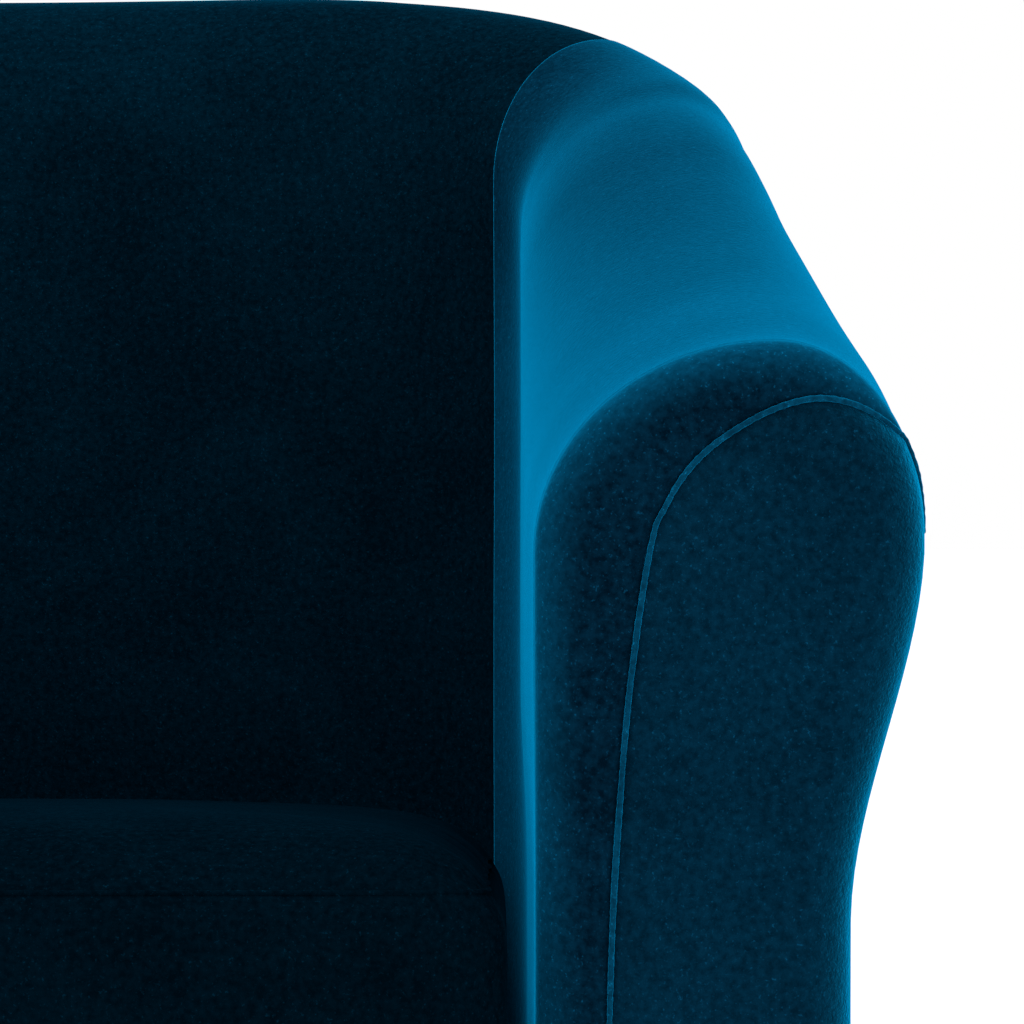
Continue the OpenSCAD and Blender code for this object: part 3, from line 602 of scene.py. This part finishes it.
# Materials of the parts that stay as they are
keptLooks = [
    (beechWood, ["front_rail", "back_rail", "left_side_rail", "right_side_rail", "corner_blocks",
                 "left_back_post", "right_back_post", "left_arm_rail", "right_arm_rail",
                 "back_top_rail", "back_slats"]),
    (plyWood, ["left_front_panel", "right_front_panel"]),
    (walnutWood, ["front_left_leg", "front_right_leg", "rear_left_leg", "rear_right_leg"]),
    (bareSteel, ["leg_bolts", "t_nuts", "seat_springs", "spring_clips", "spring_tie_wires",
                 "back_tack_strips"]),
    (glidePlastic, ["leg_glides"]),
    (webbingCloth, ["back_webbing", "left_arm_webbing", "right_arm_webbing"]),
    (liningBoard, ["left_arm_lining", "right_arm_lining", "back_lining"]),
    (foamYellow, ["left_arm_foam", "right_arm_foam", "back_foam_pad", "left_front_pad",
                  "right_front_pad", "border_foam", "cushion_core"]),
    (feltGrey, ["seat_deck"]),
    (zipTape, ["cushion_zip"]),
    (velvet, ["left_arm_cover", "right_arm_cover", "inside_back_cover", "left_arm_facing",
              "right_arm_facing", "left_outside_arm_cover", "right_outside_arm_cover",
              "outside_back_cover", "front_border_cover", "cushion_cover"]),
    (seamVelvetPaintedHighlight, ["left_facing_seam", "right_facing_seam"]),
    (platformCloth, ["seat_deck_cover"]),
    (dustCloth, ["dust_cover"]),
]
for material, names in keptLooks:
    for name in names:
        data = nodes[name].data
        if not data.materials:
            data.materials.append(material)
        for k in range(len(data.materials)):
            data.materials[k] = material


def finishPiece(obj, material, body, slotName, *replaced):
    obj.data.materials.clear()
    obj.data.materials.append(material)
    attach(obj, body)
    if replaced:
        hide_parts(*replaced)
    return obj


# Velvet covers stretched over the foam
cover = {
    "thick": 1.6 * mm,
    "tuck": 1.3 * mm,
    "tuckWidth": 2.4 * mm,
    "armCrown": 2.5 * mm,
    "backCrown": 6.0 * mm,
    "sideCrown": 1.2 * mm,
    "swell": 0.35 * mm,
    "edgeRows": np.array([0.1, 0.7, 1.6, 3, 5]) * mm,
    "edge": 8 * mm,
    "wrapRows": 22,
    "seamGap": 0.4 * mm,
}
sides = ((1, "right"), (-1, "left"))


def tucked(distance):
    # how far the cloth dips beside a seam: a bell curve of the distance
    return cover["tuck"] * np.exp(-(distance / cover["tuckWidth"]) ** 2)


def girthAt(s, us):
    # length along the section at each u
    n, z = sectionAt(s, us, 0.0, wall["deckHeight"])
    return np.concatenate([[0], np.cumsum(np.hypot(np.diff(n), np.diff(z)))])


def sheathed(skin, lift, thick):
    # raises a grid along its normals and gives the two faces of the cloth
    normals = gridNormals(skin)
    outer = skin + normals * lift[..., None]
    return outer, outer - normals * thick


def insideColumns(count):
    # steps up the inner face, then over the roll to the shoulder seam
    return np.concatenate([np.linspace(0.0, 1.0, 36)[:-1], np.linspace(1.0, shoulderU, count)])


def rowsBetween(first, last, count):
    # even rows with a few close ones at each end
    middle = np.linspace(first + cover["edge"], last - cover["edge"], count)
    return np.concatenate([first + cover["edgeRows"], middle, last - cover["edgeRows"][::-1]])


def insideArm():
    # rows run from the facing seam, over the front edge, and back along the arm to the corner
    us = insideColumns(64)
    wrapRows = cover["wrapRows"]
    sRows = np.concatenate([wall["frontRound"] + np.array([1.2, 2.6, 4, 7, 10.5, 12, 15, 20]) * mm,
                            np.linspace(44 * mm, splitS - cover["edge"], 60),
                            splitS - cover["edgeRows"][::-1]])
    t = np.linspace(1, 0, wrapRows)[:, None]
    path = (seamPath(us)[None, :] - cover["seamGap"]) * (0.35 * t + 0.65 * t ** 2)
    wrap = frontPoint(np.broadcast_to(us, path.shape), path, 0 * path)
    s2, u2 = np.meshgrid(sRows, us, indexing="ij")
    skin = wallPoint(s2, u2, 0 * s2)
    grid = np.concatenate([wrap, skin])
    girth = girthAt(0.2, us)
    fromSide = np.broadcast_to((girth[-1] - girth)[None, :], grid.shape[:2])
    fromBack = np.concatenate([np.full(wrapRows, 1.0), splitS - sRows])[:, None]
    fromFront = np.concatenate([np.zeros(wrapRows), sRows])[:, None]
    above = smooth((grid[..., 2] - deckZ(grid[..., 1]) - 95 * mm) / (70 * mm))
    plump = (above * smooth(fromSide / (60 * mm)) * smooth(fromBack / (70 * mm))
             * smooth(fromFront / (90 * mm)))
    toSeam = np.concatenate([seamPath(us)[None, :] - path, np.full((len(sRows), len(us)), 1.0)])
    lift = cover["armCrown"] * plump - tucked(fromSide) - tucked(toSeam)
    lift = lift + cover["swell"] * waves(grid, 0.22, 3) * smooth(fromSide / (40 * mm))
    return sheathed(grid, lift, cover["thick"])


def insideBack():
    us = insideColumns(60)
    sRows = rowsBetween(splitS, 2 * halfLen - splitS, 96)
    s2, u2 = np.meshgrid(sRows, us, indexing="ij")
    skin = wallPoint(s2, u2, 0 * s2)
    girth = girthAt(halfLen, us)
    fromTop = (girth[-1] - girth)[None, :]
    fromEnds = np.minimum(sRows - splitS, 2 * halfLen - splitS - sRows)[:, None]
    above = smooth((skin[..., 2] - deckZ(skin[..., 1]) - 80 * mm) / (90 * mm))
    plump = above * smooth(fromTop / (110 * mm)) * smooth(fromEnds / (120 * mm))
    lift = cover["backCrown"] * plump - tucked(fromTop)
    lift = lift + cover["swell"] * waves(skin, 0.25, 5) * smooth(fromTop / (40 * mm))
    return sheathed(skin, lift, cover["thick"])


def outsideCover(first, last, count, seed):
    # rows follow the plan, columns run from the shoulder seam down to the skirt
    us = np.concatenate([shoulderU + np.array([belowSeam, 0.010, 0.018, 0.03, 0.05]),
                         np.linspace(3.06, 4.0, 46)])
    sRows = rowsBetween(first, last, count)
    s2, u2 = np.meshgrid(sRows, us, indexing="ij")
    skin = wallPoint(s2, u2, 0 * s2)
    girth = girthAt(0.2, us)
    fromTop = girth[None, :]
    fromEnds = np.minimum(sRows - first, last - sRows)[:, None]
    plump = (smooth(fromTop / (80 * mm)) * smooth(fromEnds / (80 * mm))
             * smooth((girth[-1] - fromTop) / (60 * mm)))
    lift = cover["sideCrown"] * plump - tucked(fromTop) - tucked(fromEnds)
    lift = lift + cover["swell"] * waves(skin, 0.3, seed)
    return sheathed(skin, lift, cover["thick"])


facing = {
    "middle": 58 * mm,
    "hollow": 1.2 * mm,
    "rows": 44,
}


def facingPanel():
    # spokes run from the seam, or round the outer edge, in to a middle line
    springZ = wall["armTop"] - wall["riseIn"]
    leftU = np.linspace(0.0, 1.0, 56)
    leftZ = mix(wall["skirtZ"], springZ, leftU)
    outTop = wall["armTop"] - wall["riseOut"]
    rightU = 3 + (outTop - leftZ[::-1]) / (outTop - wall["skirtZ"])
    us = np.concatenate([leftU[:-1], np.linspace(1.0, 2.6, 64)[:-1], np.linspace(2.6, 3.0, 22)[:-1], rightU])
    start = np.where(us < 3.0, seamPath(us) + cover["seamGap"], 0.0)
    arc = np.maximum(arcLen - start, 0)
    flatDepth = np.maximum(seamDepth(us) + cover["seamGap"], wall["frontRound"])
    n, z = sectionAt(0 * us, us, flatDepth, wall["skirtZ"])
    middleZ = np.minimum(z, springZ)
    reach = np.hypot(n - facing["middle"], z - middleZ)
    r = np.linspace(0, 1, facing["rows"]) ** 1.15
    length = r[:, None] * (arc + reach)[None, :]
    onArc = length < arc[None, :]
    u2 = np.broadcast_to(us, length.shape)
    turned = frontPoint(u2, np.minimum(start[None, :] + length, arcLen), 0 * length)
    share = np.clip((length - arc[None, :]) / reach[None, :], 0, 1)
    flatN = n[None, :] + (facing["middle"] - n)[None, :] * share
    flatZ = z[None, :] + (middleZ - z)[None, :] * share
    flat = np.stack([wall["halfSeat"] + flatN, wall["frontY"] + 0 * flatN, flatZ], -1)
    grid = np.where(onArc[..., None], turned, flat)
    fromSeam = np.where(us < 3.0, 1.0, 0.0)[None, :]
    grid[..., 1] += tucked(length) * fromSeam
    grid[..., 1] += facing["hollow"] * smooth(share)
    grid[..., 1] += 0.2 * mm * waves(grid, 0.16, 11)
    return grid.transpose(1, 0, 2)


armOuter, armInner = insideArm()
for side, name in sides:
    pair = (armOuter, armInner) if side > 0 else (mirrored(armOuter), mirrored(armInner))
    obj = slab(name + "InsideArm", *pair)
    finishPiece(obj, armVelvetPaintedSheen, "chair", "velvet", name + "_arm_cover")
obj = slab("insideBack", *insideBack())
finishPiece(obj, backVelvetPaintedShade, "chair", "velvet", "inside_back_cover")
outArm = outsideCover(wall["frontRound"] + 0.2 * mm, splitS, 56, 7)
for side, name in sides:
    pair = outArm if side > 0 else tuple(mirrored(g) for g in outArm)
    obj = slab(name + "OutsideArm", *pair)
    finishPiece(obj, velvet, "chair", "velvet", name + "_outside_arm_cover")
obj = slab("outsideBack", *outsideCover(splitS, 2 * halfLen - splitS, 80, 9))
finishPiece(obj, velvet, "chair", "velvet", "outside_back_cover")
panel = facingPanel()
panelBack = panel - gridNormals(panel) * cover["thick"]
panelBack[:, -1] = panel[:, -1] + np.array([0, cover["thick"], 0])
for side, name in sides:
    pair = (panel, panelBack) if side > 0 else (mirrored(panel), mirrored(panelBack))
    obj = welded(slab(name + "ArmFacing", *pair, closedLast=True))
    finishPiece(obj, facingVelvet, "chair", "velvet", name + "_arm_facing")
print("covers made")

# The facing seam: a narrow pinched ridge up the front, out over the shoulder and back along the arm
seam = {
    "radius": 0.85 * mm,
    "proud": -0.1 * mm,
    "pitch": 3.6 * mm,
    "spacing": 1.4 * mm,
    "leave": 2.66,
}


def seamRidge():
    r = wall["frontRound"]
    us = np.concatenate([np.linspace(0.0, 1.0, 60)[:-1], np.linspace(1.0, seam["leave"], 120)])
    front = frontPoint(us, seamPath(us) + 0.1 * mm, 0 * us - seam["proud"])
    # from the front edge it eases back round the arm to the shoulder seam
    turnU = np.linspace(2.69, shoulderU, 20)
    leave = np.array([seam["leave"]])
    turnS = mix(frontPoint(leave, seamPath(leave), np.zeros(1))[0, 1] - wall["frontY"], r + 6 * mm,
                smooth(np.linspace(0, 1, 20)))
    cut = r - np.sqrt(np.maximum(r ** 2 - np.maximum(r - turnS, 0) ** 2, 0))
    turnN, turnZ = sectionAt(0 * turnU, turnU, cut, wall["skirtZ"])
    turn = np.stack([wall["halfSeat"] + turnN, wall["frontY"] + turnS, turnZ], -1)
    sBack = np.linspace(r + 10 * mm, splitS, 90)
    back = wallPoint(sBack, shoulderU + belowSeam + 0 * sBack, 0 * sBack)
    path = resampled(np.concatenate([front, turn, back]), seam["spacing"])
    share = np.clip((path[:, 1] - wall["frontY"]) / r, 0, 1)
    up = np.stack([share, share - 1, 0.15 + 0 * share], 1)
    at = np.arange(len(path)) * seam["spacing"]
    beads = 0.10 * np.sin(at * 2 * math.pi / seam["pitch"])
    radii = seam["radius"] * (1 + beads + 0.10 * waves(path, 0.03, 21))
    path = path + 0.12 * mm * np.stack([waves(path, 0.05, 22), 0 * at, waves(path, 0.05, 23)], 1)
    return path, radii, up


ridgePath, ridgeRadii, ridgeUp = seamRidge()
for side, name in sides:
    turn = np.array([side, 1, 1])
    obj = tube(name + "FacingSeam", ridgePath * turn, ridgeRadii, ridgeUp * turn)
    finishPiece(obj, seamVelvetPaintedHighlight, "chair", "seam_thread", name + "_facing_seam")
sTop = np.linspace(splitS, 2 * halfLen - splitS, 260)
topPath = resampled(wallPoint(sTop, shoulderU + belowSeam + 0 * sTop, 0 * sTop), 2 * mm)
topUp = np.stack([0 * topPath[:, 0], 1 + 0 * topPath[:, 0], 0 * topPath[:, 0]], 1)
finishPiece(tube("backSeam", topPath, seam["radius"] * 0.9, topUp), seamVelvetPaintedHighlight, "chair", "seam_thread")
print("seams made")

# Front border, platform cloth and dust cover
border = {
    "crown": 3.5 * mm,
    "round": 9 * mm,
    "lipBack": 34 * mm,
    "top": 353 * mm,
    "hem": 4 * mm,
}


def frontBorder():
    # a profile from under the skirt, up the face and over a rounded lip, carried across the front
    halfX = borderCoverHigh.x
    low, high = wall["skirtZ"] + 0.3 * mm, border["top"]
    y0 = borderCoverLow.y
    face = np.linspace(0, 1, 40)
    faceY = y0 - border["crown"] * np.sin(math.pi * face) ** 0.7
    faceZ = mix(low + border["hem"], high - border["round"], face)
    t = np.linspace(0, math.pi / 2, 10)[1:]
    lipY = y0 + border["round"] * (1 - np.cos(t))
    lipZ = high - border["round"] + border["round"] * np.sin(t)
    under = np.linspace(0, math.pi / 2, 6)[::-1][:-1]
    underY = y0 + border["hem"] * (1 - np.cos(under))
    underZ = low + border["hem"] * (1 - np.sin(under))
    backY = np.linspace(border["round"] + 3 * mm, border["lipBack"], 6)
    profileY = np.concatenate([[y0 + 22 * mm], underY, faceY, lipY, y0 + backY])
    profileZ = np.concatenate([[low], underZ, faceZ, lipZ, high - 0.09 * (backY - border["round"])])
    x = np.concatenate([[-1, -0.997, -0.99], np.linspace(-0.975, 0.975, 60), [0.99, 0.997, 1]]) * halfX
    ease = smooth((halfX - np.abs(x)) / (14 * mm))
    y = mix(y0 + 1.5 * mm, profileY[None, :], np.where(profileY[None, :] < y0, ease[:, None], 1))
    grid = np.stack(np.broadcast_arrays(x[:, None], y, profileZ[None, :]), -1)
    # the ends are folded back round the foam, into the gap beside the arm
    flaps = [np.repeat(grid[[k]], 3, 0) for k in (0, -1)]
    for flap in flaps:
        flap[..., 1] += np.array([15, 8, 1])[:, None] * mm
    grid = np.concatenate([flaps[0], grid, flaps[1][::-1]])
    grid = grid[::-1]
    grid[..., 1] += 0.3 * mm * waves(grid, 0.2, 31)
    return grid


grid = frontBorder()
obj = slab("frontBorder", grid, grid - gridNormals(grid) * cover["thick"])
finishPiece(obj, seatVelvetPaintedShade, "chair", "velvet", "front_border_cover")


def onDeck(x, y, z):
    # turns a flat layout by the seat's slope about the front of the platform
    t = wall["seatTilt"]
    return np.stack([x, wall["frontY"] + (y - wall["frontY"]) * math.cos(t) + z * math.sin(t),
                     wall["deckHeight"] - (y - wall["frontY"]) * math.sin(t) + z * math.cos(t)], -1)


deckUp = np.array([0, math.sin(wall["seatTilt"]), math.cos(wall["seatTilt"])])
deckBack = np.array([0, math.cos(wall["seatTilt"]), -math.sin(wall["seatTilt"])])


def deckOffset(points):
    # height over the platform, square to it
    return (points - np.array([0, wall["frontY"], wall["deckHeight"]])) @ deckUp


def halfWidthAt(y, inset, backInset):
    # half the clear width between the arms at each y, held back from the wall
    s = np.linspace(0, halfLen, 900)
    x, py, dx, dy = planAt(s)
    k = mix(inset, backInset, np.abs(dy))
    return np.interp(y, py - dy * k, x - dx * k)


def plateGrid(rows, cols, yFront, yBack, halfWidth):
    # rows from front to back, columns across, following a half width
    y = mix(yFront, yBack, np.sin(np.linspace(0, 1, rows) * math.pi / 2))
    across = np.linspace(1, -1, cols)
    x = np.maximum(halfWidth(y), 1 * mm)[:, None] * across[None, :]
    return x, np.broadcast_to(y[:, None], (rows, cols))


platform = {
    "frontGap": 8 * mm,
    "thick": 1.1 * mm,
    "ribs": 0.15 * mm,
    "sideGap": 2.2 * mm,
    "backGap": 12.2 * mm,
    "springs": [-180 * mm, -90 * mm, 0.0, 90 * mm, 180 * mm],
}
backEdge = backCentreY + wall["backRadius"] - 12.4 * mm
xs, ys = plateGrid(70, 121, wall["frontY"] + platform["frontGap"], backEdge,
                   lambda y: halfWidthAt(y, platform["sideGap"], platform["backGap"]))
ribs = sum(np.exp(-(np.abs(xs - c) / (26 * mm)) ** 4) for c in platform["springs"])
z = -0.55 * mm + platform["ribs"] * ribs + 0.12 * mm * waves(np.stack([xs, ys, 0 * xs], -1), 0.12, 41)
top = onDeck(xs, ys, z)
low = onDeck(xs, ys, z - platform["thick"])
obj = welded(slab("platformCloth", top, low))
finishPiece(obj, platformCloth, "chair", "platform_cloth", "seat_deck_cover")


def underHalfWidth(y):
    # half width of the underside outline: straight arms, then the corner and back arcs
    s = np.linspace(1 * mm, halfLen, 900)
    x, py, dx, dy = planAt(s)
    n = wall["armNeck"] - 7 * mm
    lean = wall["lean"] * leanHeight(wall["skirtZ"]) * smooth((s / mm - 60) / 340)
    return np.interp(y, py + dy * n + lean, x + dx * n)


dust = {
    "sag": 2.2 * mm,
    "thick": 0.7 * mm,
    "pleat": 0.25 * mm,
}
dustLow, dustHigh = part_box("dust_cover")
xs, ys = plateGrid(64, 91, dustLow.y + 1 * mm, dustHigh.y - 1 * mm, underHalfWidth)
edge = np.clip(1 - np.abs(xs) / np.maximum(underHalfWidth(ys), 1 * mm), 0, 1)
bulge = smooth(edge / 0.5) * smooth((ys - dustLow.y) / 0.2) * smooth((dustHigh.y - ys) / 0.2)
pleats = dust["pleat"] * waves(np.stack([xs, ys, 0 * xs], -1), 0.10, 43)
z = dustHigh.z - 0.2 * mm - dust["sag"] * bulge + pleats * bulge
high = np.stack([xs, ys, z], -1)
obj = welded(slab("dustCover", high, high - np.array([0, 0, dust["thick"]])))
finishPiece(obj, dustCloth, "chair", "dust_cloth", "dust_cover")
print("border, platform and dust cover made")

# Seat cushion: cut slightly small, blown up by a cloth simulation, then its welted seams sewn on
cushion = {
    "border": 105 * mm,
    "crown": 10.5 * mm,
    "sideGap": 1.8 * mm,
    "backGap": 12 * mm,
    "nose": 28 * mm,
    "shrink": 3.5 * mm,
    "frontCorner": 24 * mm,
    "voxel": 6 * mm,
    "pressure": 4.0,
    "frames": 20,
    "cap": 8 * mm,
    "sideCap": 2.45 * mm,
    "frontCap": 2.8 * mm,
    "welt": 0.9 * mm,
    "seamDip": 0.9 * mm,
}


def cushionOutline(inset):
    # closed loop: front edge with rounded corners, up one side, round the back and down again
    front = wall["frontY"] - cushion["nose"]
    s = np.concatenate([np.linspace(0.03, straightLen, 40),
                        np.linspace(straightLen, straightLen + cornerLen, 24)[1:],
                        np.linspace(straightLen + cornerLen, halfLen, 30)[1:]])
    x, y, dx, dy = planAt(s)
    k = mix(cushion["sideGap"], cushion["backGap"], np.abs(dy)) + inset
    right = np.stack([x - dx * k, y - dy * k], 1)
    r = cushion["frontCorner"]
    t = np.linspace(0, math.pi / 2, 14)
    halfX = wall["halfSeat"] - cushion["sideGap"] - inset
    corner = np.stack([halfX - r + r * np.sin(t), front + inset + r - r * np.cos(t)], 1)
    edge = np.stack([np.linspace(0, halfX - r, 24)[:-1], np.full(23, front + inset)], 1)
    half = np.concatenate([edge, corner, right])
    other = half[::-1][1:-1] * np.array([-1, 1])
    loop = np.concatenate([half, other])
    closed = np.concatenate([loop, loop[:1]])
    at = np.concatenate([[0], np.cumsum(np.linalg.norm(np.diff(closed, axis=0), axis=1))])
    want = np.linspace(0, at[-1], 361)[:-1]
    return np.stack([np.interp(want, at, closed[:, k]) for k in range(2)], 1)


def cushionStart():
    # rings of the outline: bottom panel, upright border, and a crowned top panel
    loop = cushionOutline(cushion["shrink"])
    centre = np.array([0, (loop[:, 1].min() + loop[:, 1].max()) / 2])
    low, high = 1.5 * mm, cushion["border"] - 2 * mm
    turns = [(0.002, 0), (0.25, 0), (0.5, 0), (0.75, 0), (0.93, 0), (0.985, 0.01), (1, 0.05), (1, 0.5),
             (1, 0.80), (0.993, 0.88), (0.975, 0.95), (0.94, 0.99), (0.86, 1), (0.75, 1), (0.5, 1),
             (0.25, 1), (0.002, 1)]
    rings = []
    for k, (scale, h) in enumerate(turns):
        flat = centre + (loop - centre) * scale
        z = mix(low, high, h) + (cushion["crown"] * (1 - scale ** 4.5) if k > 8 else 0)
        rings.append(onDeck(flat[:, 0], flat[:, 1], z + 0 * flat[:, 0]))
    grid = np.stack(rings)
    count = grid.shape[1]
    i, k = np.meshgrid(np.arange(len(rings) - 1), np.arange(count), indexing="ij")
    m = (k + 1) % count
    faces = np.stack([i * count + k, i * count + m, (i + 1) * count + m, (i + 1) * count + k], -1)
    caps = meshObject("seatCushion", grid.reshape(-1, 3), faces.reshape(-1, 4))
    bm = bmesh.new()
    bm.from_mesh(caps.data)
    bmesh.ops.holes_fill(bm, edges=[e for e in bm.edges if e.is_boundary])
    bmesh.ops.recalc_face_normals(bm, faces=bm.faces)
    bm.to_mesh(caps.data)
    bm.free()
    return caps


def applied(obj):
    # replaces the mesh by what its modifiers give
    graph = bpy.context.evaluated_depsgraph_get()
    mesh = bpy.data.meshes.new_from_object(obj.evaluated_get(graph))
    obj.modifiers.clear()
    obj.data = mesh
    return obj


def coordsOf(mesh):
    flat = np.empty(len(mesh.vertices) * 3, np.float32)
    mesh.vertices.foreach_get("co", flat)
    return flat.reshape(-1, 3).astype(float)


def puffed(obj):
    # blows the shape up as cloth and keeps each point's move within the caps
    remesh = obj.modifiers.new("remesh", "REMESH")
    remesh.mode = "VOXEL"
    remesh.voxel_size = cushion["voxel"]
    applied(obj)
    start = coordsOf(obj.data)
    cloth = obj.modifiers.new("cloth", "CLOTH")
    cloth.settings.use_pressure = True
    cloth.settings.uniform_pressure_force = cushion["pressure"]
    cloth.settings.effector_weights.gravity = 0
    cloth.point_cache.frame_start = 1
    cloth.point_cache.frame_end = cushion["frames"]
    for f in range(1, cushion["frames"] + 1):
        bpy.context.scene.frame_set(f)
    graph = bpy.context.evaluated_depsgraph_get()
    result = obj.evaluated_get(graph)
    moved = coordsOf(result.data)
    obj.modifiers.clear()
    bpy.context.scene.frame_set(1)
    move = moved - start
    # the rise levels off towards the cap, and is nothing near the underside
    rise = cushion["cap"] * np.tanh(np.maximum(move @ deckUp, 0) / cushion["cap"])
    rise = rise * smooth((deckOffset(start) - 0.02) / 0.05)
    side = np.clip(move[:, 0], -cushion["sideCap"], cushion["sideCap"])
    along = np.clip(move @ deckBack, -cushion["frontCap"], cushion["shrink"])
    puff = start + rise[:, None] * deckUp + along[:, None] * deckBack
    puff[:, 0] += side
    obj.data.vertices.foreach_set("co", puff.astype(np.float32).ravel())
    obj.data.update()
    print("cushion rise in mm:", round(float(rise.max() / mm), 1))
    relax = obj.modifiers.new("relax", "SMOOTH")
    relax.factor = 0.5
    relax.iterations = 3
    finer = obj.modifiers.new("finer", "SUBSURF")
    finer.levels = finer.render_levels = 1
    return applied(obj)


def pulledIn(obj, heights):
    # draws the cloth in along the two seam lines, by the distance from each
    points = coordsOf(obj.data)
    normals = np.empty(len(points) * 3, np.float32)
    obj.data.vertices.foreach_get("normal", normals)
    normals = normals.reshape(-1, 3)
    height = deckOffset(points)
    outward = smooth(np.hypot(normals[:, 0], normals[:, 1]) / 0.6)
    for h in heights:
        dip = cushion["seamDip"] * np.exp(-((height - h) / (5 * mm)) ** 2)
        points -= normals * (dip * outward)[:, None]
    obj.data.vertices.foreach_set("co", points.astype(np.float32).ravel())
    obj.data.update()


cushionPiece = puffed(cushionStart())
seamHeights = (9 * mm, cushion["border"] - 7 * mm)
pulledIn(cushionPiece, seamHeights)
for polygon in cushionPiece.data.polygons:
    polygon.use_smooth = True
finishPiece(cushionPiece, seatVelvetPaintedShade, "cushion", "velvet", "cushion_cover", "cushion_core")

# Welts lie where a level line round the cushion meets its side
tree = BVHTree.FromPolygons([v.co.copy() for v in cushionPiece.data.vertices],
                            [tuple(p.vertices) for p in cushionPiece.data.polygons])
loop = cushionOutline(-20 * mm)
inner = cushionOutline(60 * mm)
for label, h in zip(("lower", "upper"), seamHeights):
    outside = onDeck(loop[:, 0], loop[:, 1], h + 0 * loop[:, 0])
    inside = onDeck(inner[:, 0], inner[:, 1], h + 0 * loop[:, 0])
    hits = []
    for a, b in zip(outside, inside):
        hit = tree.ray_cast(Vector(a), Vector(b - a).normalized())
        hits.append(hit[0] if hit[0] is not None else Vector(b))
    line = np.array([list(p) for p in hits])
    line = np.concatenate([line, line[:2]])
    for _ in range(2):
        line[1:-1] = (line[:-2] + 2 * line[1:-1] + line[2:]) / 4
    up = np.tile(deckUp, (len(line), 1))
    welt = tube(label + "CushionWelt", line, cushion["welt"], up)
    finishPiece(welt, seatVelvetPaintedShade, "cushion", "velvet")
print("cushion made")

# Camera, light and floor
studio = {
    "distance": 1.260,
    "place": (0.240, 0.6106),
    "lens": 156.4,
    "pan": 0.1545,
    "tilt": 2.085,
    "world": 1.0,
    "overhead": 20,
    "sun": 0.5,
}

camera = bpy.data.cameras.new("camera")
camera.lens = studio["lens"]
camera.sensor_width = 36
camera.clip_end = 50
cameraObject = bpy.data.objects.new("camera", camera)
cameraObject.location = (studio["place"][0], wall["frontY"] - studio["distance"], studio["place"][1])
cameraObject.rotation_euler = (math.radians(90 - studio["tilt"]), 0, math.radians(-studio["pan"]))
bpy.context.scene.collection.objects.link(cameraObject)
bpy.context.scene.camera = cameraObject

world = bpy.data.worlds.new("studio")
bpy.context.scene.world = world
world.use_nodes = True
backdrop = next(n for n in world.node_tree.nodes if n.type == "BACKGROUND")
backdrop.inputs["Color"].default_value = (1.0, 1.0, 1.0, 1.0)
backdrop.inputs["Strength"].default_value = studio["world"]


overhead = bpy.data.lights.new("overhead", "AREA")
overhead.size = 1.6
overhead.energy = studio["overhead"]
overheadObject = bpy.data.objects.new("overhead", overhead)
overheadObject.location = (0.3, 0.2, 2.6)
aim = Vector((0.1, 0.0, 0.5)) - overheadObject.location
overheadObject.rotation_euler = aim.to_track_quat("-Z", "Y").to_euler()
bpy.context.scene.collection.objects.link(overheadObject)
sun = bpy.data.lights.new("daylight", "SUN")
sun.energy = studio["sun"]
sun.angle = math.radians(60)
sunObject = bpy.data.objects.new("daylight", sun)
sunObject.rotation_euler = (math.radians(-12), math.radians(10), 0)
bpy.context.scene.collection.objects.link(sunObject)

floorSize = 12
floor = meshObject("floor", np.array([[-1, -1, 0], [1, -1, 0], [1, 1, 0], [-1, 1, 0]]) * floorSize,
                   np.array([[0, 1, 2, 3]]), False)
material, tree, shader = newMaterial("paleFloor")
shader.inputs["Base Color"].default_value = (0.94, 0.94, 0.94, 1)
shader.inputs["Roughness"].default_value = 0.6
floor.data.materials.append(material)

bpy.context.scene.view_settings.view_transform = "Standard"
print("camera, lights and floor made")
